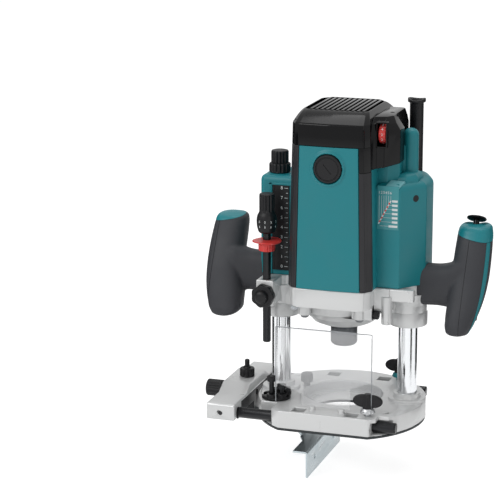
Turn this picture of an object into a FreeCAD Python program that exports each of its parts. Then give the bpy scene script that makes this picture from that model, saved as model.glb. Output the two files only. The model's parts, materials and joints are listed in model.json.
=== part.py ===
import FreeCAD, Part
import math
import os
import re
import Sketcher

# Plunge router with straight guide.  Millimetres.  X runs along the handles, Y to the back, Z up.
# The origin is where the spindle axis meets the underside of the sole plate.

SIZES = {
    # fits
    "fit": 0.05,
    "gap": 0.5,
    "stem_radius": 3.0,
    "bevel": 1.0,
    # base
    "base_radius": 84.5,
    "base_y": -5.0,
    "base_front": 71.0,
    "sole_thick": 2.4,
    "base_top": 20.2,
    "flange_top": 3.6,
    "bore_radius": 31.0,
    "bore_top": 11.0,
    "recess_radius": 40.0,
    "pocket_depth": 9.0,
    "screw_radius": 2.0,
    "screw_head": 4.0,
    "screw_sink": 0.3,
    "screw_long": 10.0,
    "screw_pitch_x": 52.0,
    "screw_pitch_y": 34.0,
    "pocket_x": 27.0,
    "pocket_front": 65.5,
    "pocket_rear": 59.0,
    "pocket_wide": 13.0,
    "pin_hole_x": 58.6,
    "pin_hole_y": 48.9,
    "notch_x": 54.7,
    "notch_half": 12.0,
    "notch_back": 20.0,
    "window_x": 60.0,
    "window_y": 69.0,
    "window_half": 12.0,
    "wing_x": 42.3,
    "wing_radius": 7.4,
    "wing_thick": 4.4,
    "wing_top": 42.4,
    "ring_screw_x": 42.5,
    "ring_screw_y": 12.5,
    "ring_screw_top": 34.0,
    "ring_screw_radius": 6.2,
    # plunge posts
    "post_x": 66.0,
    "post_radius": 9.75,
    "post_bore": 7.0,
    "post_foot": 6.0,
    "post_top": 165.0,
    "collar_radius": 13.8,
    "collar_top": 28.0,
    "boss_radius": 19.0,
    "boss_top": 23.5,
    "spring_radius": 5.9,
    "spring_wire": 0.7,
    "spring_pitch": 12.0,
    "limit_x": 68.0,
    "limit_radius": 2.5,
    "limit_top": 262.0,
    # straight guide
    "rod_radius": 5.4,
    "rod_y": 62.0,
    "rod_z": 9.6,
    "rod_right": 71.3,
    "holder_left": 121.0,
    "holder_right": 91.5,
    "holder_half": 75.0,
    "holder_bottom": 4.0,
    "holder_low": 21.0,
    "holder_high": 28.0,
    "holder_wall": 3.0,
    "ramp_foot": 38.0,
    "ramp_head": 24.0,
    "arm_half": 10.0,
    "arm_top": -8.0,
    "arm_thick": 3.0,
    "fence_face": 20.0,
    "fence_half": 59.0,
    "fence_top": -26.0,
    "fence_bottom": -53.5,
    "fence_sheet": 2.0,
    "flange_end": 35.5,
    "flange_mid": 41.5,
    "flange_half": 14.0,
    "strap_bend": 56.0,
    "fence_hole": 2.2,
    "fence_hole_y": 33.0,
    "fence_hole_z": -39.0,
    "adjust_radius": 8.75,
    "adjust_left": 146.0,
    "adjust_long": 17.0,
    "adjust_z": 12.0,
    "clamp_radius": 7.75,
    "clamp_x": 103.0,
    "clamp_top": 37.0,
    "clamp_peg": 46.0,
    # chip deflector
    "deflector_y": 63.5,
    "deflector_thick": 1.6,
    "deflector_top": 103.5,
    "deflector_left": 52.0,
    "deflector_right": 47.0,
    "deflector_half": 25.0,
    "foot_x": 15.0,
    "foot_radius": 3.2,
    "foot_top": 24.6,
    # turret stop
    "turret_x": 60.0,
    "turret_y": 36.0,
    "turret_radius": 14.5,
    "turret_pitch": 10.0,
    "turret_thick": 3.0,
    "turret_hub": 5.0,
    "turret_top": 30.0,
    "stop_radius": 2.5,
    "stop_head": 4.6,
    "stop_high": 45.5,
    "stop_middle": 37.0,
    "stop_low": 31.0,
    # depth rod
    "depth_radius": 4.0,
    "depth_bottom": 78.2,
    "depth_shoulder": 190.0,
    "depth_neck": 2.5,
    "knob_top": 230.0,
    "knob_radius": 10.2,
    "pointer_bottom": 172.0,
    "pointer_radius": 14.6,
    "depth_clamp_z": 128.5,
    "depth_clamp_radius": 12.0,
    "clamp_dome_radius": 6.5,
    # motor unit
    "sleeve_bottom": 99.0,
    "bracket_top": 143.0,
    "sleeve_radius": 18.5,
    "bush_radius": 12.0,
    "bracket_floor": 112.0,
    "floor_radius": 46.5,
    "skirt_bottom": 121.0,
    "skirt_sheet": 3.0,
    "screw_boss": 6.0,
    "floor_thick": 6.0,
    "neck_block_x": 53.5,
    "neck_block_half": 15.5,
    "boss_front": 43.5,
    "boss_back": 13.0,
    "boss_half": 9.0,
    "lamp_post_x": 53.0,
    "lamp_post_y": 35.0,
    "lamp_post_radius": 5.0,
    "cover_screw_x": 28.0,
    "cover_screw_y": 44.0,
    "lock_y": 41.0,
    "lock_z": 116.8,
    "lock_radius": 4.4,
    "lever_z": 121.0,
    "lever_radius": 8.0,
    "lever_half": 5.0,
    "hub_radius": 27.0,
    "cover_radius": 36.5,
    "cover_bottom": 94.0,
    "front_half": 31.0,
    "front_y": 61.0,
    "side_x": 41.0,
    "strip_y": 48.0,
    "rear_y": 58.0,
    "rear_chamfer": 12.0,
    "wall": 2.6,
    "housing_top": 285.0,
    "cap_top": 313.0,
    "rib_high": 4.5,
    "rib_wide": 3.4,
    "rib_step": 7.0,
    "vent_wide": 2.4,
    "rib_back": 50.0,
    "rib_front": 43.0,
    "cap_slope": 6.0,
    "cap_slope_deep": 17.0,
    "module_bottom": 261.0,
    "module_top": 312.5,
    "module_front": 40.0,
    "module_right": 68.5,
    "module_waist": 12.0,
    "module_rear": 34.0,
    "module_step": 12.0,
    "dial_x": 47.8,
    "dial_y": 32.5,
    "dial_z": 296.5,
    "dial_radius": 10.5,
    "dial_wide": 7.6,
    "shoulder_top": 247.0,
    "cover_right": 86.0,
    "cover_front": 35.0,
    "cover_rear": 48.0,
    "column_radius": 7.5,
    "column_top": 297.0,
    "cavity_radius": 14.0,
    "left_top": 244.0,
    "left_front": 16.0,
    "left_rear": 34.0,
    "left_side": 84.0,
    "limit_knob_top": 267.0,
    "limit_knob_radius": 10.8,
    "plate_left": 68.0,
    "plate_wide": 15.0,
    "plate_thick": 1.2,
    "plate_bottom": 148.0,
    "plate_top": 236.0,
    "lever_tip": 94.0,
    "boss_bottom": 117.0,
    "cord_x": 61.5,
    "cord_y": 38.5,
    "cord_radius": 7.75,
    "cord_bore": 5.6,
    "cord_top": 320.0,
    # handles
    "grip_x": 128.0,
    "grip_tuck": 3.0,
    "grip_low_y": -27.0,
    "grip_high_y": 26.0,
    "grip_bottom": 99.0,
    "grip_top": 195.0,
    "right_rise": 8.0,
    "grip_half_x": 18.4,
    "grip_half_y": 18.5,
    "neck_z": 140.0,
    "neck_half_z": 21.5,
    "neck_half_y": 18.0,
    "cap_line": 42.0,
    "trigger_half": 7.0,
    "trigger_low": -34.0,
    "trigger_high": 12.0,
    "trigger_out": 23.0,
    "button_radius": 10.0,
    "button_travel": 3.5,
    "button_seat": 23.4,
    "button_lift": 4.0,
    # spindle and motor
    "shank_radius": 6.35,
    "collet_radius": 9.4,
    "nut_radius": 13.5,
    "slit_half": 0.4,
    "nut_bottom": 72.7,
    "nut_top": 93.0,
    "seat_radius": 10.0,
    "shaft_radius": 8.5,
    "top_seat": 6.0,
    "lower_race": 21.0,
    "upper_race": 13.0,
    "race_thick": 14.0,
    "core_radius": 22.0,
    "core_bottom": 175.0,
    "core_top": 235.0,
    "stator_radius": 36.0,
    "air_gap": 0.8,
    "brush_z": 264.0,
    "comm_radius": 15.0,
    "comm_half": 12.0,
    "holder_radius": 8.0,
    "brush_cap_radius": 13.75,
    "brush_half": 4.0,
    "brush_long": 24.7,
    "fan_radius": 33.0,
    "fan_hub": 13.0,
    "fan_high": 11.0,
}

ALONG = {
    "Z": FreeCAD.Rotation(),
    "X": FreeCAD.Rotation(FreeCAD.Vector(0, 1, 0), 90),
    "-X": FreeCAD.Rotation(FreeCAD.Vector(0, 1, 0), -90),
    "Y": FreeCAD.Rotation(FreeCAD.Vector(1, 0, 0), -90),
    "-Y": FreeCAD.Rotation(FreeCAD.Vector(1, 0, 0), 90),
    "-Z": FreeCAD.Rotation(FreeCAD.Vector(1, 0, 0), 180),
}
GRIP_LEAN = math.degrees(math.atan2(SIZES["grip_high_y"] - SIZES["grip_low_y"],
                                    SIZES["grip_top"] - SIZES["grip_bottom"]))
ALONG["grip"] = FreeCAD.Rotation(FreeCAD.Vector(1, 0, 0), -GRIP_LEAN)

BUTTON_FOOT = ("grip_x - 2", "grip_high_y - 9", "grip_top - 18")

# Stop screws of the turret: place round it in degrees, and the word for the height of its top.
STOPS = ((-100, "stop_high"), (-40, "stop_middle"), (20, "stop_low"))

# Handle sections: share of the grip's height or distance from the spindle, and how full each is.
GRIP_RINGS = ((0.0, 0.42), (0.03, 0.66), (0.12, 0.8), (0.35, 0.95),
              (0.65, 1.0), (0.85, 0.97), (0.95, 0.82), (1.0, 0.5))
NECK_RINGS = (("grip_x - 49", 1.0), ("grip_x - 31", 0.97), ("grip_x - 19", 1.12), ("grip_x - 3", 1.2))
SOFT_CORNER = 3.0
LEVER_CORNER = 2.0

doc = FreeCAD.newDocument("plunge_router")
sheet = doc.addObject("Spreadsheet::Sheet", "Sizes")
for row, (word, value) in enumerate(SIZES.items(), start=1):
    sheet.set(f"A{row}", word)
    sheet.set(f"B{row}", str(value))
    sheet.setAlias(f"B{row}", word)
doc.recompute()

WORDS = re.compile(r"\b(" + "|".join(sorted(SIZES, key=len, reverse=True)) + r")\b")
nodes = []


def bind(thing, field, formula):
    """Tie one property to a formula written with the sheet's words."""
    thing.setExpression(field, WORDS.sub(r"Sizes.\1", str(formula)))


def place(thing, at, along="Z"):
    """Turn a thing so its own Z lies along a direction, and tie its position to three formulas."""
    thing.Placement = FreeCAD.Placement(FreeCAD.Vector(), ALONG[along])
    for axis, formula in zip("xyz", at):
        bind(thing, f"Placement.Base.{axis}", formula)
    return thing


def box(size, at, along="Z"):
    """Block with three sizes; it grows from its low corner."""
    thing = doc.addObject("Part::Box", "block")
    for field, formula in zip(("Length", "Width", "Height"), size):
        bind(thing, field, formula)
    return place(thing, at, along)


def span(low, high):
    """Block between two corners, each given by three formulas."""
    size = [f"({top}) - ({bottom})" for bottom, top in zip(low, high)]
    return box(size, low)


def rod(radius, length, at, along="Z"):
    """Round bar."""
    thing = doc.addObject("Part::Cylinder", "bar")
    bind(thing, "Radius", radius)
    bind(thing, "Height", length)
    return place(thing, at, along)


def fuse(*things):
    """Join things into one."""
    joined = doc.addObject("Part::MultiFuse", "joined")
    joined.Shapes = list(things)
    return joined


def cut(base, *tools):
    """Take tools away from a base."""
    result = doc.addObject("Part::Cut", "trimmed")
    result.Base = base
    result.Tool = tools[0] if len(tools) == 1 else fuse(*tools)
    return result


def common(first, second):
    """Keep what two things share."""
    shared = doc.addObject("Part::MultiCommon", "shared")
    shared.Shapes = [first, second]
    return shared


def node(name, *things):
    """Name a sub-part; several separate solids become one group."""
    thing = things[0]
    if len(things) > 1:
        thing = doc.addObject("Part::Compound", "group")
        thing.Links = list(things)
    thing.Label = name
    nodes.append(thing)
    return thing


def outline(body, plane, corners, height="0"):
    """Closed sketch of straight sides, each corner held by its two distances from the origin."""
    drawing = body.newObject("Sketcher::SketchObject", "drawing")
    origin_plane = [item for item in body.Origin.OriginFeatures if item.Role == plane][0]
    drawing.AttachmentSupport = (origin_plane, [""])
    drawing.MapMode = "FlatFace"
    bind(drawing, "AttachmentOffset.Base.z", height)
    count = len(corners)
    start = []
    for step in range(count):
        angle = 2 * math.pi * step / count
        start.append(FreeCAD.Vector(50 + 30 * math.cos(angle), 50 + 30 * math.sin(angle), 0))
    for step in range(count):
        drawing.addGeometry(Part.LineSegment(start[step], start[(step + 1) % count]), False)
    rules = []
    for step in range(count):
        rules.append(Sketcher.Constraint("Coincident", step, 2, (step + 1) % count, 1))
    for step in range(count):
        rules.append(Sketcher.Constraint("DistanceX", -1, 1, step, 1, start[step].x))
        rules.append(Sketcher.Constraint("DistanceY", -1, 1, step, 1, start[step].y))
    drawing.addConstraint(rules)
    for step, (across, up) in enumerate(corners):
        bind(drawing, f"Constraints[{count + 2 * step}]", across)
        bind(drawing, f"Constraints[{count + 2 * step + 1}]", up)
    return drawing


def prism(corners, bottom, height):
    """Upright plate or block with a drawn plan."""
    body = doc.addObject("PartDesign::Body", "prism")
    drawing = outline(body, "XY_Plane", corners, bottom)
    pad = body.newObject("PartDesign::Pad", "pad")
    pad.Profile = (drawing, [""])
    bind(pad, "Length", height)
    return body


def sheet_metal(corners, half):
    """Profile drawn on X and Z, carried evenly to both sides along Y."""
    body = doc.addObject("PartDesign::Body", "profile")
    drawing = outline(body, "XZ_Plane", corners)
    pad = body.newObject("PartDesign::Pad", "pad")
    pad.Profile = (drawing, [""])
    pad.Midplane = True
    bind(pad, "Length", f"2 * ({half})")
    return body


def side_profile(corners, low, high):
    """Profile drawn on Y and Z, carried along X between two places."""
    body = doc.addObject("PartDesign::Body", "profile")
    drawing = outline(body, "YZ_Plane", corners, low)
    pad = body.newObject("PartDesign::Pad", "pad")
    pad.Profile = (drawing, [""])
    bind(pad, "Length", f"({high}) - ({low})")
    return body


def turned(corners, at=("0", "0", "0"), along="Z"):
    """Round piece: a half profile of radius and height, turned about its own Z."""
    body = doc.addObject("PartDesign::Body", "turned")
    drawing = outline(body, "XZ_Plane", corners)
    turn = body.newObject("PartDesign::Revolution", "turn")
    turn.Profile = (drawing, [""])
    turn.ReferenceAxis = (drawing, ["V_Axis"])
    turn.Angle = 360
    return place(body, at, along)


def tube(outer, inner, low, high, at=("0", "0"), along="Z"):
    """Round wall between two heights; 'at' gives the place of its axis."""
    place_at = {"Z": (at[0], at[1], "0"), "Y": (at[0], "0", at[1]), "X": ("0", at[0], at[1])}
    corners = [(inner, low), (outer, low), (outer, high), (inner, high)]
    return turned(corners, place_at[along], along)


def loft(rings):
    """Smooth solid through ellipses; a ring is (centre, half across, half along, direction)."""
    sections = []
    for centre, across, along, direction in rings:
        ring = doc.addObject("Part::Ellipse", "ring")
        bind(ring, "MajorRadius", along)
        bind(ring, "MinorRadius", across)
        quarter = FreeCAD.Rotation(FreeCAD.Vector(0, 0, 1), 90)
        lie = ALONG[direction]
        ring.Placement = FreeCAD.Placement(FreeCAD.Vector(), lie.multiply(quarter)
                                           if direction == "Z" else lie)
        for axis, formula in zip("xyz", centre):
            bind(ring, f"Placement.Base.{axis}", formula)
        sections.append(ring)
    skin = doc.addObject("Part::Loft", "skin")
    skin.Sections = sections
    skin.Solid = True
    skin.Ruled = False
    return skin


def round_edges(thing, radius, wanted):
    """Fillet the edges whose middle point passes a test."""
    doc.recompute()
    rounded = doc.addObject("Part::Fillet", "rounded")
    rounded.Base = thing
    chosen = []
    for index, edge in enumerate(thing.Shape.Edges, start=1):
        middle = edge.valueAt((edge.FirstParameter + edge.LastParameter) / 2)
        if wanted(edge, middle):
            chosen.append((index, radius, radius))
    rounded.Edges = chosen
    return rounded


def along_y_low(edge, middle):
    """True for the two straight edges that run along Y at the tip of the plunge lever."""
    return middle.z < SIZES["lever_tip"] + 0.1 and abs(edge.BoundBox.YLength - edge.Length) < 1e-6


def upright(edge, middle):
    """True for a straight edge that stands along Z."""
    ends = [vertex.Point for vertex in edge.Vertexes]
    if len(ends) != 2:
        return False
    lean = (ends[1] - ends[0]).normalize()
    return abs(lean.z) > 0.999


# ---------------------------------------------------------------- base

def base_plan(low, high):
    """Round plan with a straight front."""
    disc = rod("base_radius", f"({high}) - ({low})", ("0", "base_y", low))
    keep = span(("-base_radius - 1", "base_y - base_front", f"({low}) - 1"),
                ("base_radius + 1", "base_radius + base_y + 1", f"({high}) + 1"))
    return common(disc, keep)


def base_casting():
    block = base_plan("sole_thick", "base_top")
    bosses = []
    for side in ("-1", "1"):
        bosses.append(rod("boss_radius", "boss_top - sole_thick", (f"{side} * post_x", "0", "sole_thick")))
        bosses.append(rod("collar_radius", "collar_top - sole_thick",
                          (f"{side} * post_x", "0", "sole_thick")))
        bosses.append(rod("foot_radius", "foot_top - sole_thick",
                          (f"bevel + {side} * foot_x", "-deflector_y", "sole_thick")))
    block = fuse(block, *bosses)
    cuts = [
        rod("bore_radius", "base_top + 2", ("0", "0", "0")),
        rod("recess_radius", "base_top", ("0", "0", "bore_top")),
        rod("screw_radius", "base_top + 2", ("pin_hole_x", "-pin_hole_y", "0")),
        rod("depth_radius + 1", "base_top", ("-turret_x - turret_pitch", "-turret_y", "2 * sole_thick")),
        rod("stem_radius", "base_top", ("-ring_screw_x", "ring_screw_y", "bore_top")),
    ]
    for side in ("-1", "1"):
        cuts.append(rod("post_radius", "post_top", (f"{side} * post_x", "0", "post_foot")))
        cuts.append(rod("rod_radius + fit", "4 * base_radius",
                        ("-2 * base_radius", f"{side} * rod_y", "rod_z"), "X"))
        cuts.append(span(("-base_radius - 1", f"{side} * rod_y - notch_half", "flange_top"),
                         ("-notch_x", f"{side} * rod_y + notch_half + notch_back * ({side} > 0)",
                          "base_top + 10")))
        cuts.append(span(("window_x - window_half", f"{side} * window_y - window_half", "flange_top"),
                         ("window_x + window_half", f"{side} * window_y + window_half",
                          "rod_z + rod_radius + 1")))
        cuts.append(span(("window_x - 7", f"{side} * window_y - 8", "base_top - 6"),
                         ("window_x + 8", f"{side} * window_y + 8", "base_top + 1")))
        cuts.append(rod("stem_radius + fit", "base_top", ("wing_x", f"{side} * rod_y", "rod_z")))
        for back in ("-pocket_front", "pocket_rear"):
            cuts.append(span((f"{side} * pocket_x - pocket_wide / 2", f"{back} - pocket_wide / 2",
                              "base_top - pocket_depth"),
                             (f"{side} * pocket_x + pocket_wide / 2", f"{back} + pocket_wide / 2",
                              "base_top + 1")))
        for end in ("-1", "1"):
            cuts.append(rod("screw_radius", "screw_long - sole_thick",
                            (f"{side} * screw_pitch_x", f"{end} * screw_pitch_y", "sole_thick")))
    return node("base_casting", cut(block, *cuts))


def sole_plate():
    plate = base_plan("0", "sole_thick")
    cuts = [rod("bore_radius", "sole_thick + 2", ("0", "0", "-1"))]
    for side in ("-1", "1"):
        for end in ("-1", "1"):
            at = (f"{side} * screw_pitch_x", f"{end} * screw_pitch_y", "0")
            cuts.append(turned([("0", "-1"), ("screw_head", "-1"), ("screw_head", "screw_sink"),
                                ("screw_radius", "sole_thick"), ("0", "sole_thick")], at))
    cuts.append(rod("screw_radius", "2 * sole_thick", ("pin_hole_x", "-pin_hole_y", "-1")))
    return node("sole_plate", cut(plate, *cuts))


def sole_screws():
    screws = []
    for side in ("-1", "1"):
        for end in ("-1", "1"):
            at = (f"{side} * screw_pitch_x", f"{end} * screw_pitch_y", "0")
            screws.append(turned([("0", "screw_sink"), ("screw_head", "screw_sink"),
                                  ("screw_radius", "sole_thick"),
                                  ("screw_radius", "screw_long"), ("0", "screw_long")], at))
    return node("sole_screws", *screws)


def plunge_post(name, side):
    wall = [("0", "post_foot"), ("post_radius", "post_foot"), ("post_radius", "post_top - 1"),
            ("post_radius - 1", "post_top"), ("post_bore", "post_top"), ("post_bore", "post_foot + 5"),
            ("0", "post_foot + 5")]
    return node(name, turned(wall, (f"{side} * post_x", "0", "0")))


def limit_rod():
    bar = turned([("0", "post_foot + 5"), ("limit_radius", "post_foot + 5"),
                  ("limit_radius", "limit_top - 0.5"),
                  ("limit_radius - 0.5", "limit_top"), ("0", "limit_top")], ("-limit_x", "0", "0"))
    return node("limit_rod", bar)


def return_springs():
    coils = []
    for side in (-1, 1):
        path = doc.addObject("Part::Helix", "coil")
        bind(path, "Pitch", "spring_pitch")
        bind(path, "Height", "left_top - 5 - post_foot - 6 - 2 * spring_wire")
        bind(path, "Radius", "spring_radius")
        place(path, (f"{side} * post_x", "0", "post_foot + 6 + spring_wire"))
        wire = doc.addObject("Part::Circle", "wire")
        bind(wire, "Radius", "spring_wire")
        place(wire, (f"{side} * post_x + spring_radius", "0", "post_foot + 6 + spring_wire"), "Y")
        coil = doc.addObject("Part::Sweep", "spring")
        coil.Sections = [wire]
        coil.Spine = path
        coil.Solid = True
        coil.Frenet = True
        coils.append(coil)
    return node("return_springs", *coils)


def chip_deflector():
    corners = [("-deflector_half", "foot_top"), ("deflector_half", "foot_top"),
               ("deflector_half", "foot_top + 21"),
               ("deflector_right", "foot_top + 30"), ("deflector_right", "deflector_top - 6"),
               ("deflector_right - 3", "deflector_top - 3.2"), ("deflector_half + 5", "deflector_top"),
               ("-deflector_half - 5", "deflector_top"), ("-deflector_left + 3", "deflector_top - 3.2"),
               ("-deflector_left", "deflector_top - 6"), ("-deflector_left", "foot_top + 21.5"),
               ("-deflector_half", "foot_top + 11.5")]
    body = doc.addObject("PartDesign::Body", "shield")
    drawing = outline(body, "XZ_Plane", corners, "deflector_y - deflector_thick / 2")
    pad = body.newObject("PartDesign::Pad", "pad")
    pad.Profile = (drawing, [""])
    bind(pad, "Length", "deflector_thick")
    return node("chip_deflector", body)


def ring_screw():
    low = "ring_screw_top - 7"
    screw = turned([("0", "bore_top"), ("stem_radius", "bore_top"), ("stem_radius", low),
                    ("ring_screw_radius - 0.6", low), ("ring_screw_radius", f"{low} + 0.6"),
                    ("ring_screw_radius", "ring_screw_top - bevel"),
                    ("ring_screw_radius - 0.8", "ring_screw_top"),
                    ("0", "ring_screw_top")], ("-ring_screw_x", "ring_screw_y", "0"))
    return node("ring_screw", screw)


def wing_bolt(name, side):
    """Thumb screw whose two wings stand on a waisted neck, and whose tip meets the guide rod."""
    low = "rod_z + rod_radius + gap"
    stem = turned([("0", low), ("stem_radius", low), ("stem_radius", "base_top + gap"),
                   ("5", "base_top + gap"),
                   ("5", "base_top + 3"), ("3.4", "base_top + 5"), ("3.4", "wing_top - 12.4"),
                   ("5", "wing_top - 9.4"), ("4.4", "wing_top"), ("0", "wing_top")],
                  ("wing_x", f"{side} * rod_y", "0"))
    wings = []
    for hand in ("-1", "1"):
        wings.append(rod("wing_radius", "wing_thick", (f"wing_x + {hand} * (wing_radius + 0.2)",
                                                       f"{side} * rod_y - wing_thick / 2",
                                                       "wing_top - wing_radius - 0.4"), "Y"))
    return node(name, fuse(stem, *wings))


# ---------------------------------------------------------------- turret stop

def stop_place(angle):
    """Formulas for the place of a stop screw at an angle round the turret."""
    across = math.cos(math.radians(angle))
    back = math.sin(math.radians(angle))
    return f"-turret_x + turret_pitch * {across:.6f}", f"-turret_y + turret_pitch * {back:.6f}"


def turret():
    low = "base_top + gap"
    disc = turned([("0", low), ("turret_radius", low), ("turret_radius", f"{low} + turret_thick"),
                   ("turret_hub", f"{low} + turret_thick"), ("turret_hub", "turret_top"),
                   ("0", "turret_top")],
                  ("-turret_x", "-turret_y", "0"))
    cuts = [rod("depth_radius + 0.8", "2 * base_top", ("-turret_x - turret_pitch", "-turret_y", "0")),
            rod("depth_radius + 0.8", "2 * base_top", ("-turret_x", "-turret_y + turret_pitch", "0"))]
    for angle, _top in STOPS:
        cuts.append(rod("stop_radius", "2 * base_top", (*stop_place(angle), f"{low} + bevel")))
    return node("turret", cut(disc, *cuts))


def turret_screws():
    screws = []
    low = "base_top + gap + bevel"
    for angle, top in STOPS:
        screws.append(turned([("0", low), ("stop_radius", low), ("stop_radius", f"{top} - 5"),
                              ("stop_head", f"{top} - 5"), ("stop_head", f"{top} - 0.8"),
                              ("stop_head - 0.8", top), ("0", top)], (*stop_place(angle), "0")))
    return node("turret_screws", *screws)


# ---------------------------------------------------------------- straight guide

def guide_rods():
    bars = []
    for side in ("-1", "1"):
        bars.append(turned([("0", "-holder_left + holder_wall"), ("rod_radius", "-holder_left + holder_wall"),
                            ("rod_radius", "rod_right - 0.6"), ("rod_radius - 0.6", "rod_right"),
                            ("0", "rod_right")], ("0", f"{side} * rod_y", "rod_z"), "X"))
    return node("guide_rods", *bars)


def guide_holder():
    """Bridge that carries both rods: low ends, ramps and a raised hollow middle."""
    skyline = [("-holder_half", "holder_bottom"), ("holder_half", "holder_bottom"),
               ("holder_half", "holder_low - 2"),
               ("holder_half - 2", "holder_low"), ("ramp_foot", "holder_low"), ("ramp_head", "holder_high"),
               ("-ramp_head", "holder_high"), ("-ramp_foot", "holder_low"),
               ("-holder_half + 2", "holder_low"),
               ("-holder_half", "holder_low - 2")]
    block = side_profile(skyline, "-holder_left", "-holder_right")
    cuts = [span(("-holder_left + holder_wall", "-rod_y + 10", "holder_bottom - 1"),
                 ("-holder_right + 1", "rod_y - 10", "holder_low - holder_wall")),
            rod("4", "30", ("-clamp_x", "0", "holder_low - 8")),
            rod("stem_radius + fit", "holder_wall + 2", ("-holder_left - 1", "0", "adjust_z"), "X")]
    for side in ("-1", "1"):
        cuts.append(rod("rod_radius", "holder_left",
                        ("-holder_left + holder_wall", f"{side} * rod_y", "rod_z"), "X"))
        cuts.append(rod("screw_radius - 0.5", "6", ("-clamp_x - 5", f"{side} * holder_half - 3", "adjust_z"),
                        "Y"))
    return node("guide_holder", cut(block, *cuts))


def fence_slide():
    """Block inside the bridge, with the arm that reaches under the sole."""
    left = "-holder_left + holder_wall + 11"
    block = span((left, "-rod_y + 12", "holder_bottom + 1"),
                 ("-holder_right - 1", "rod_y - 12", "holder_low - holder_wall - gap"))
    leg = span((f"{left} + 2", "-arm_half", "arm_top - arm_thick"),
               ("-holder_right - 1", "arm_half", "holder_bottom + 2"))
    hole = rod("stem_radius + fit", "holder_left", ("-holder_left", "0", "adjust_z"), "X")
    return node("fence_slide", cut(fuse(block, leg), hole))


def fence():
    """Pressed angle with a wider middle, and the strap that carries it."""
    angle = sheet_metal([("-flange_end", "fence_top - fence_sheet"),
                         ("-fence_face - fence_sheet", "fence_top - fence_sheet"),
                         ("-fence_face - fence_sheet", "fence_bottom"), ("-fence_face", "fence_bottom"),
                         ("-fence_face", "fence_top - 1.5"), ("-fence_face - 1.5", "fence_top"),
                         ("-flange_end", "fence_top")], "fence_half")
    tab = prism([("-flange_end", "-flange_half - 12"), ("-flange_mid", "-flange_half"),
                 ("-flange_mid", "flange_half"), ("-flange_end", "flange_half + 12")],
                "fence_top - fence_sheet", "fence_sheet")
    strap = sheet_metal([("-holder_right - 1", "arm_top"), ("-holder_right - 1", "arm_top - arm_thick"),
                         ("-strap_bend", "arm_top - arm_thick"), ("-flange_mid", "fence_top - fence_sheet"),
                         ("-flange_end", "fence_top - fence_sheet"), ("-flange_end", "fence_top"),
                         ("-flange_mid + 2", "fence_top"), ("-strap_bend + 2", "arm_top")], "arm_half")
    holes = []
    for side in ("-1", "1"):
        holes.append(rod("fence_hole", "8", ("-fence_face - 5", f"{side} * fence_hole_y", "fence_hole_z"),
                         "X"))
    return node("fence", cut(fuse(angle, tab, strap), *holes))


def fence_adjuster():
    """Knob and screw that draw the fence slide along."""
    low = "-adjust_left"
    knob = turned([("0", low), ("adjust_radius - bevel", low), ("adjust_radius", f"{low} + bevel"),
                   ("adjust_radius", f"{low} + adjust_long"), ("adjust_radius / 2", f"{low} + adjust_long"),
                   ("adjust_radius / 2", "-holder_left - gap"), ("stem_radius", "-holder_left - gap"),
                   ("stem_radius", "-holder_right - 6"), ("0", "-holder_right - 6")], ("0", "0", "adjust_z"),
                  "X")
    return node("fence_adjuster", knob)


def guide_clamp_knob():
    low = "holder_high + gap"
    tip = "holder_low - holder_wall + 0.2"
    knob = turned([("0", tip), ("clamp_radius / 2", tip), ("clamp_radius / 2", low),
                   ("clamp_radius - bevel", low), ("clamp_radius", f"{low} + bevel"),
                   ("clamp_radius", "clamp_top - bevel"), ("clamp_radius - 1.2", "clamp_top"),
                   ("stop_radius", "clamp_top"), ("stop_radius", "clamp_peg - bevel"),
                   ("stop_radius - 0.6", "clamp_peg"), ("0", "clamp_peg")], ("-clamp_x", "0", "0"))
    return node("guide_clamp_knob", knob)


# ---------------------------------------------------------------- motor unit: bracket and covers

def body_plan(inset, strips=True):
    """Plan of the motor housing; with strips the front corners are whole, without they are stepped."""
    front = f"-front_y + {inset}"
    side = f"side_x - {inset}"
    half = f"front_half - {inset} / 2"
    right = [(f"{half}", front)]
    if strips:
        right += [("front_half + 5", f"-front_y + 1.5 + {inset}"), (side, f"-strip_y - 4 + {inset}")]
    else:
        right += [(f"{half}", f"-front_y + 4 + {inset} * 0.8"), (f"side_x - 3 - {inset}",
                                                                 f"-strip_y + {inset}"),
                  (side, f"-strip_y + {inset}")]
    right += [(side, f"rear_y - rear_chamfer - {inset} / 2"),
              (f"side_x - rear_chamfer - {inset} / 2", f"rear_y - {inset}")]
    left = [(f"-({across})", back) for across, back in reversed(right)]
    return right + left


def depth_boss():
    """Block that carries the depth rod."""
    return span(("-turret_x - turret_pitch - boss_half", "-boss_front", "boss_bottom"),
                ("-turret_x - turret_pitch + boss_half", "-boss_back", "bracket_top"))


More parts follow.
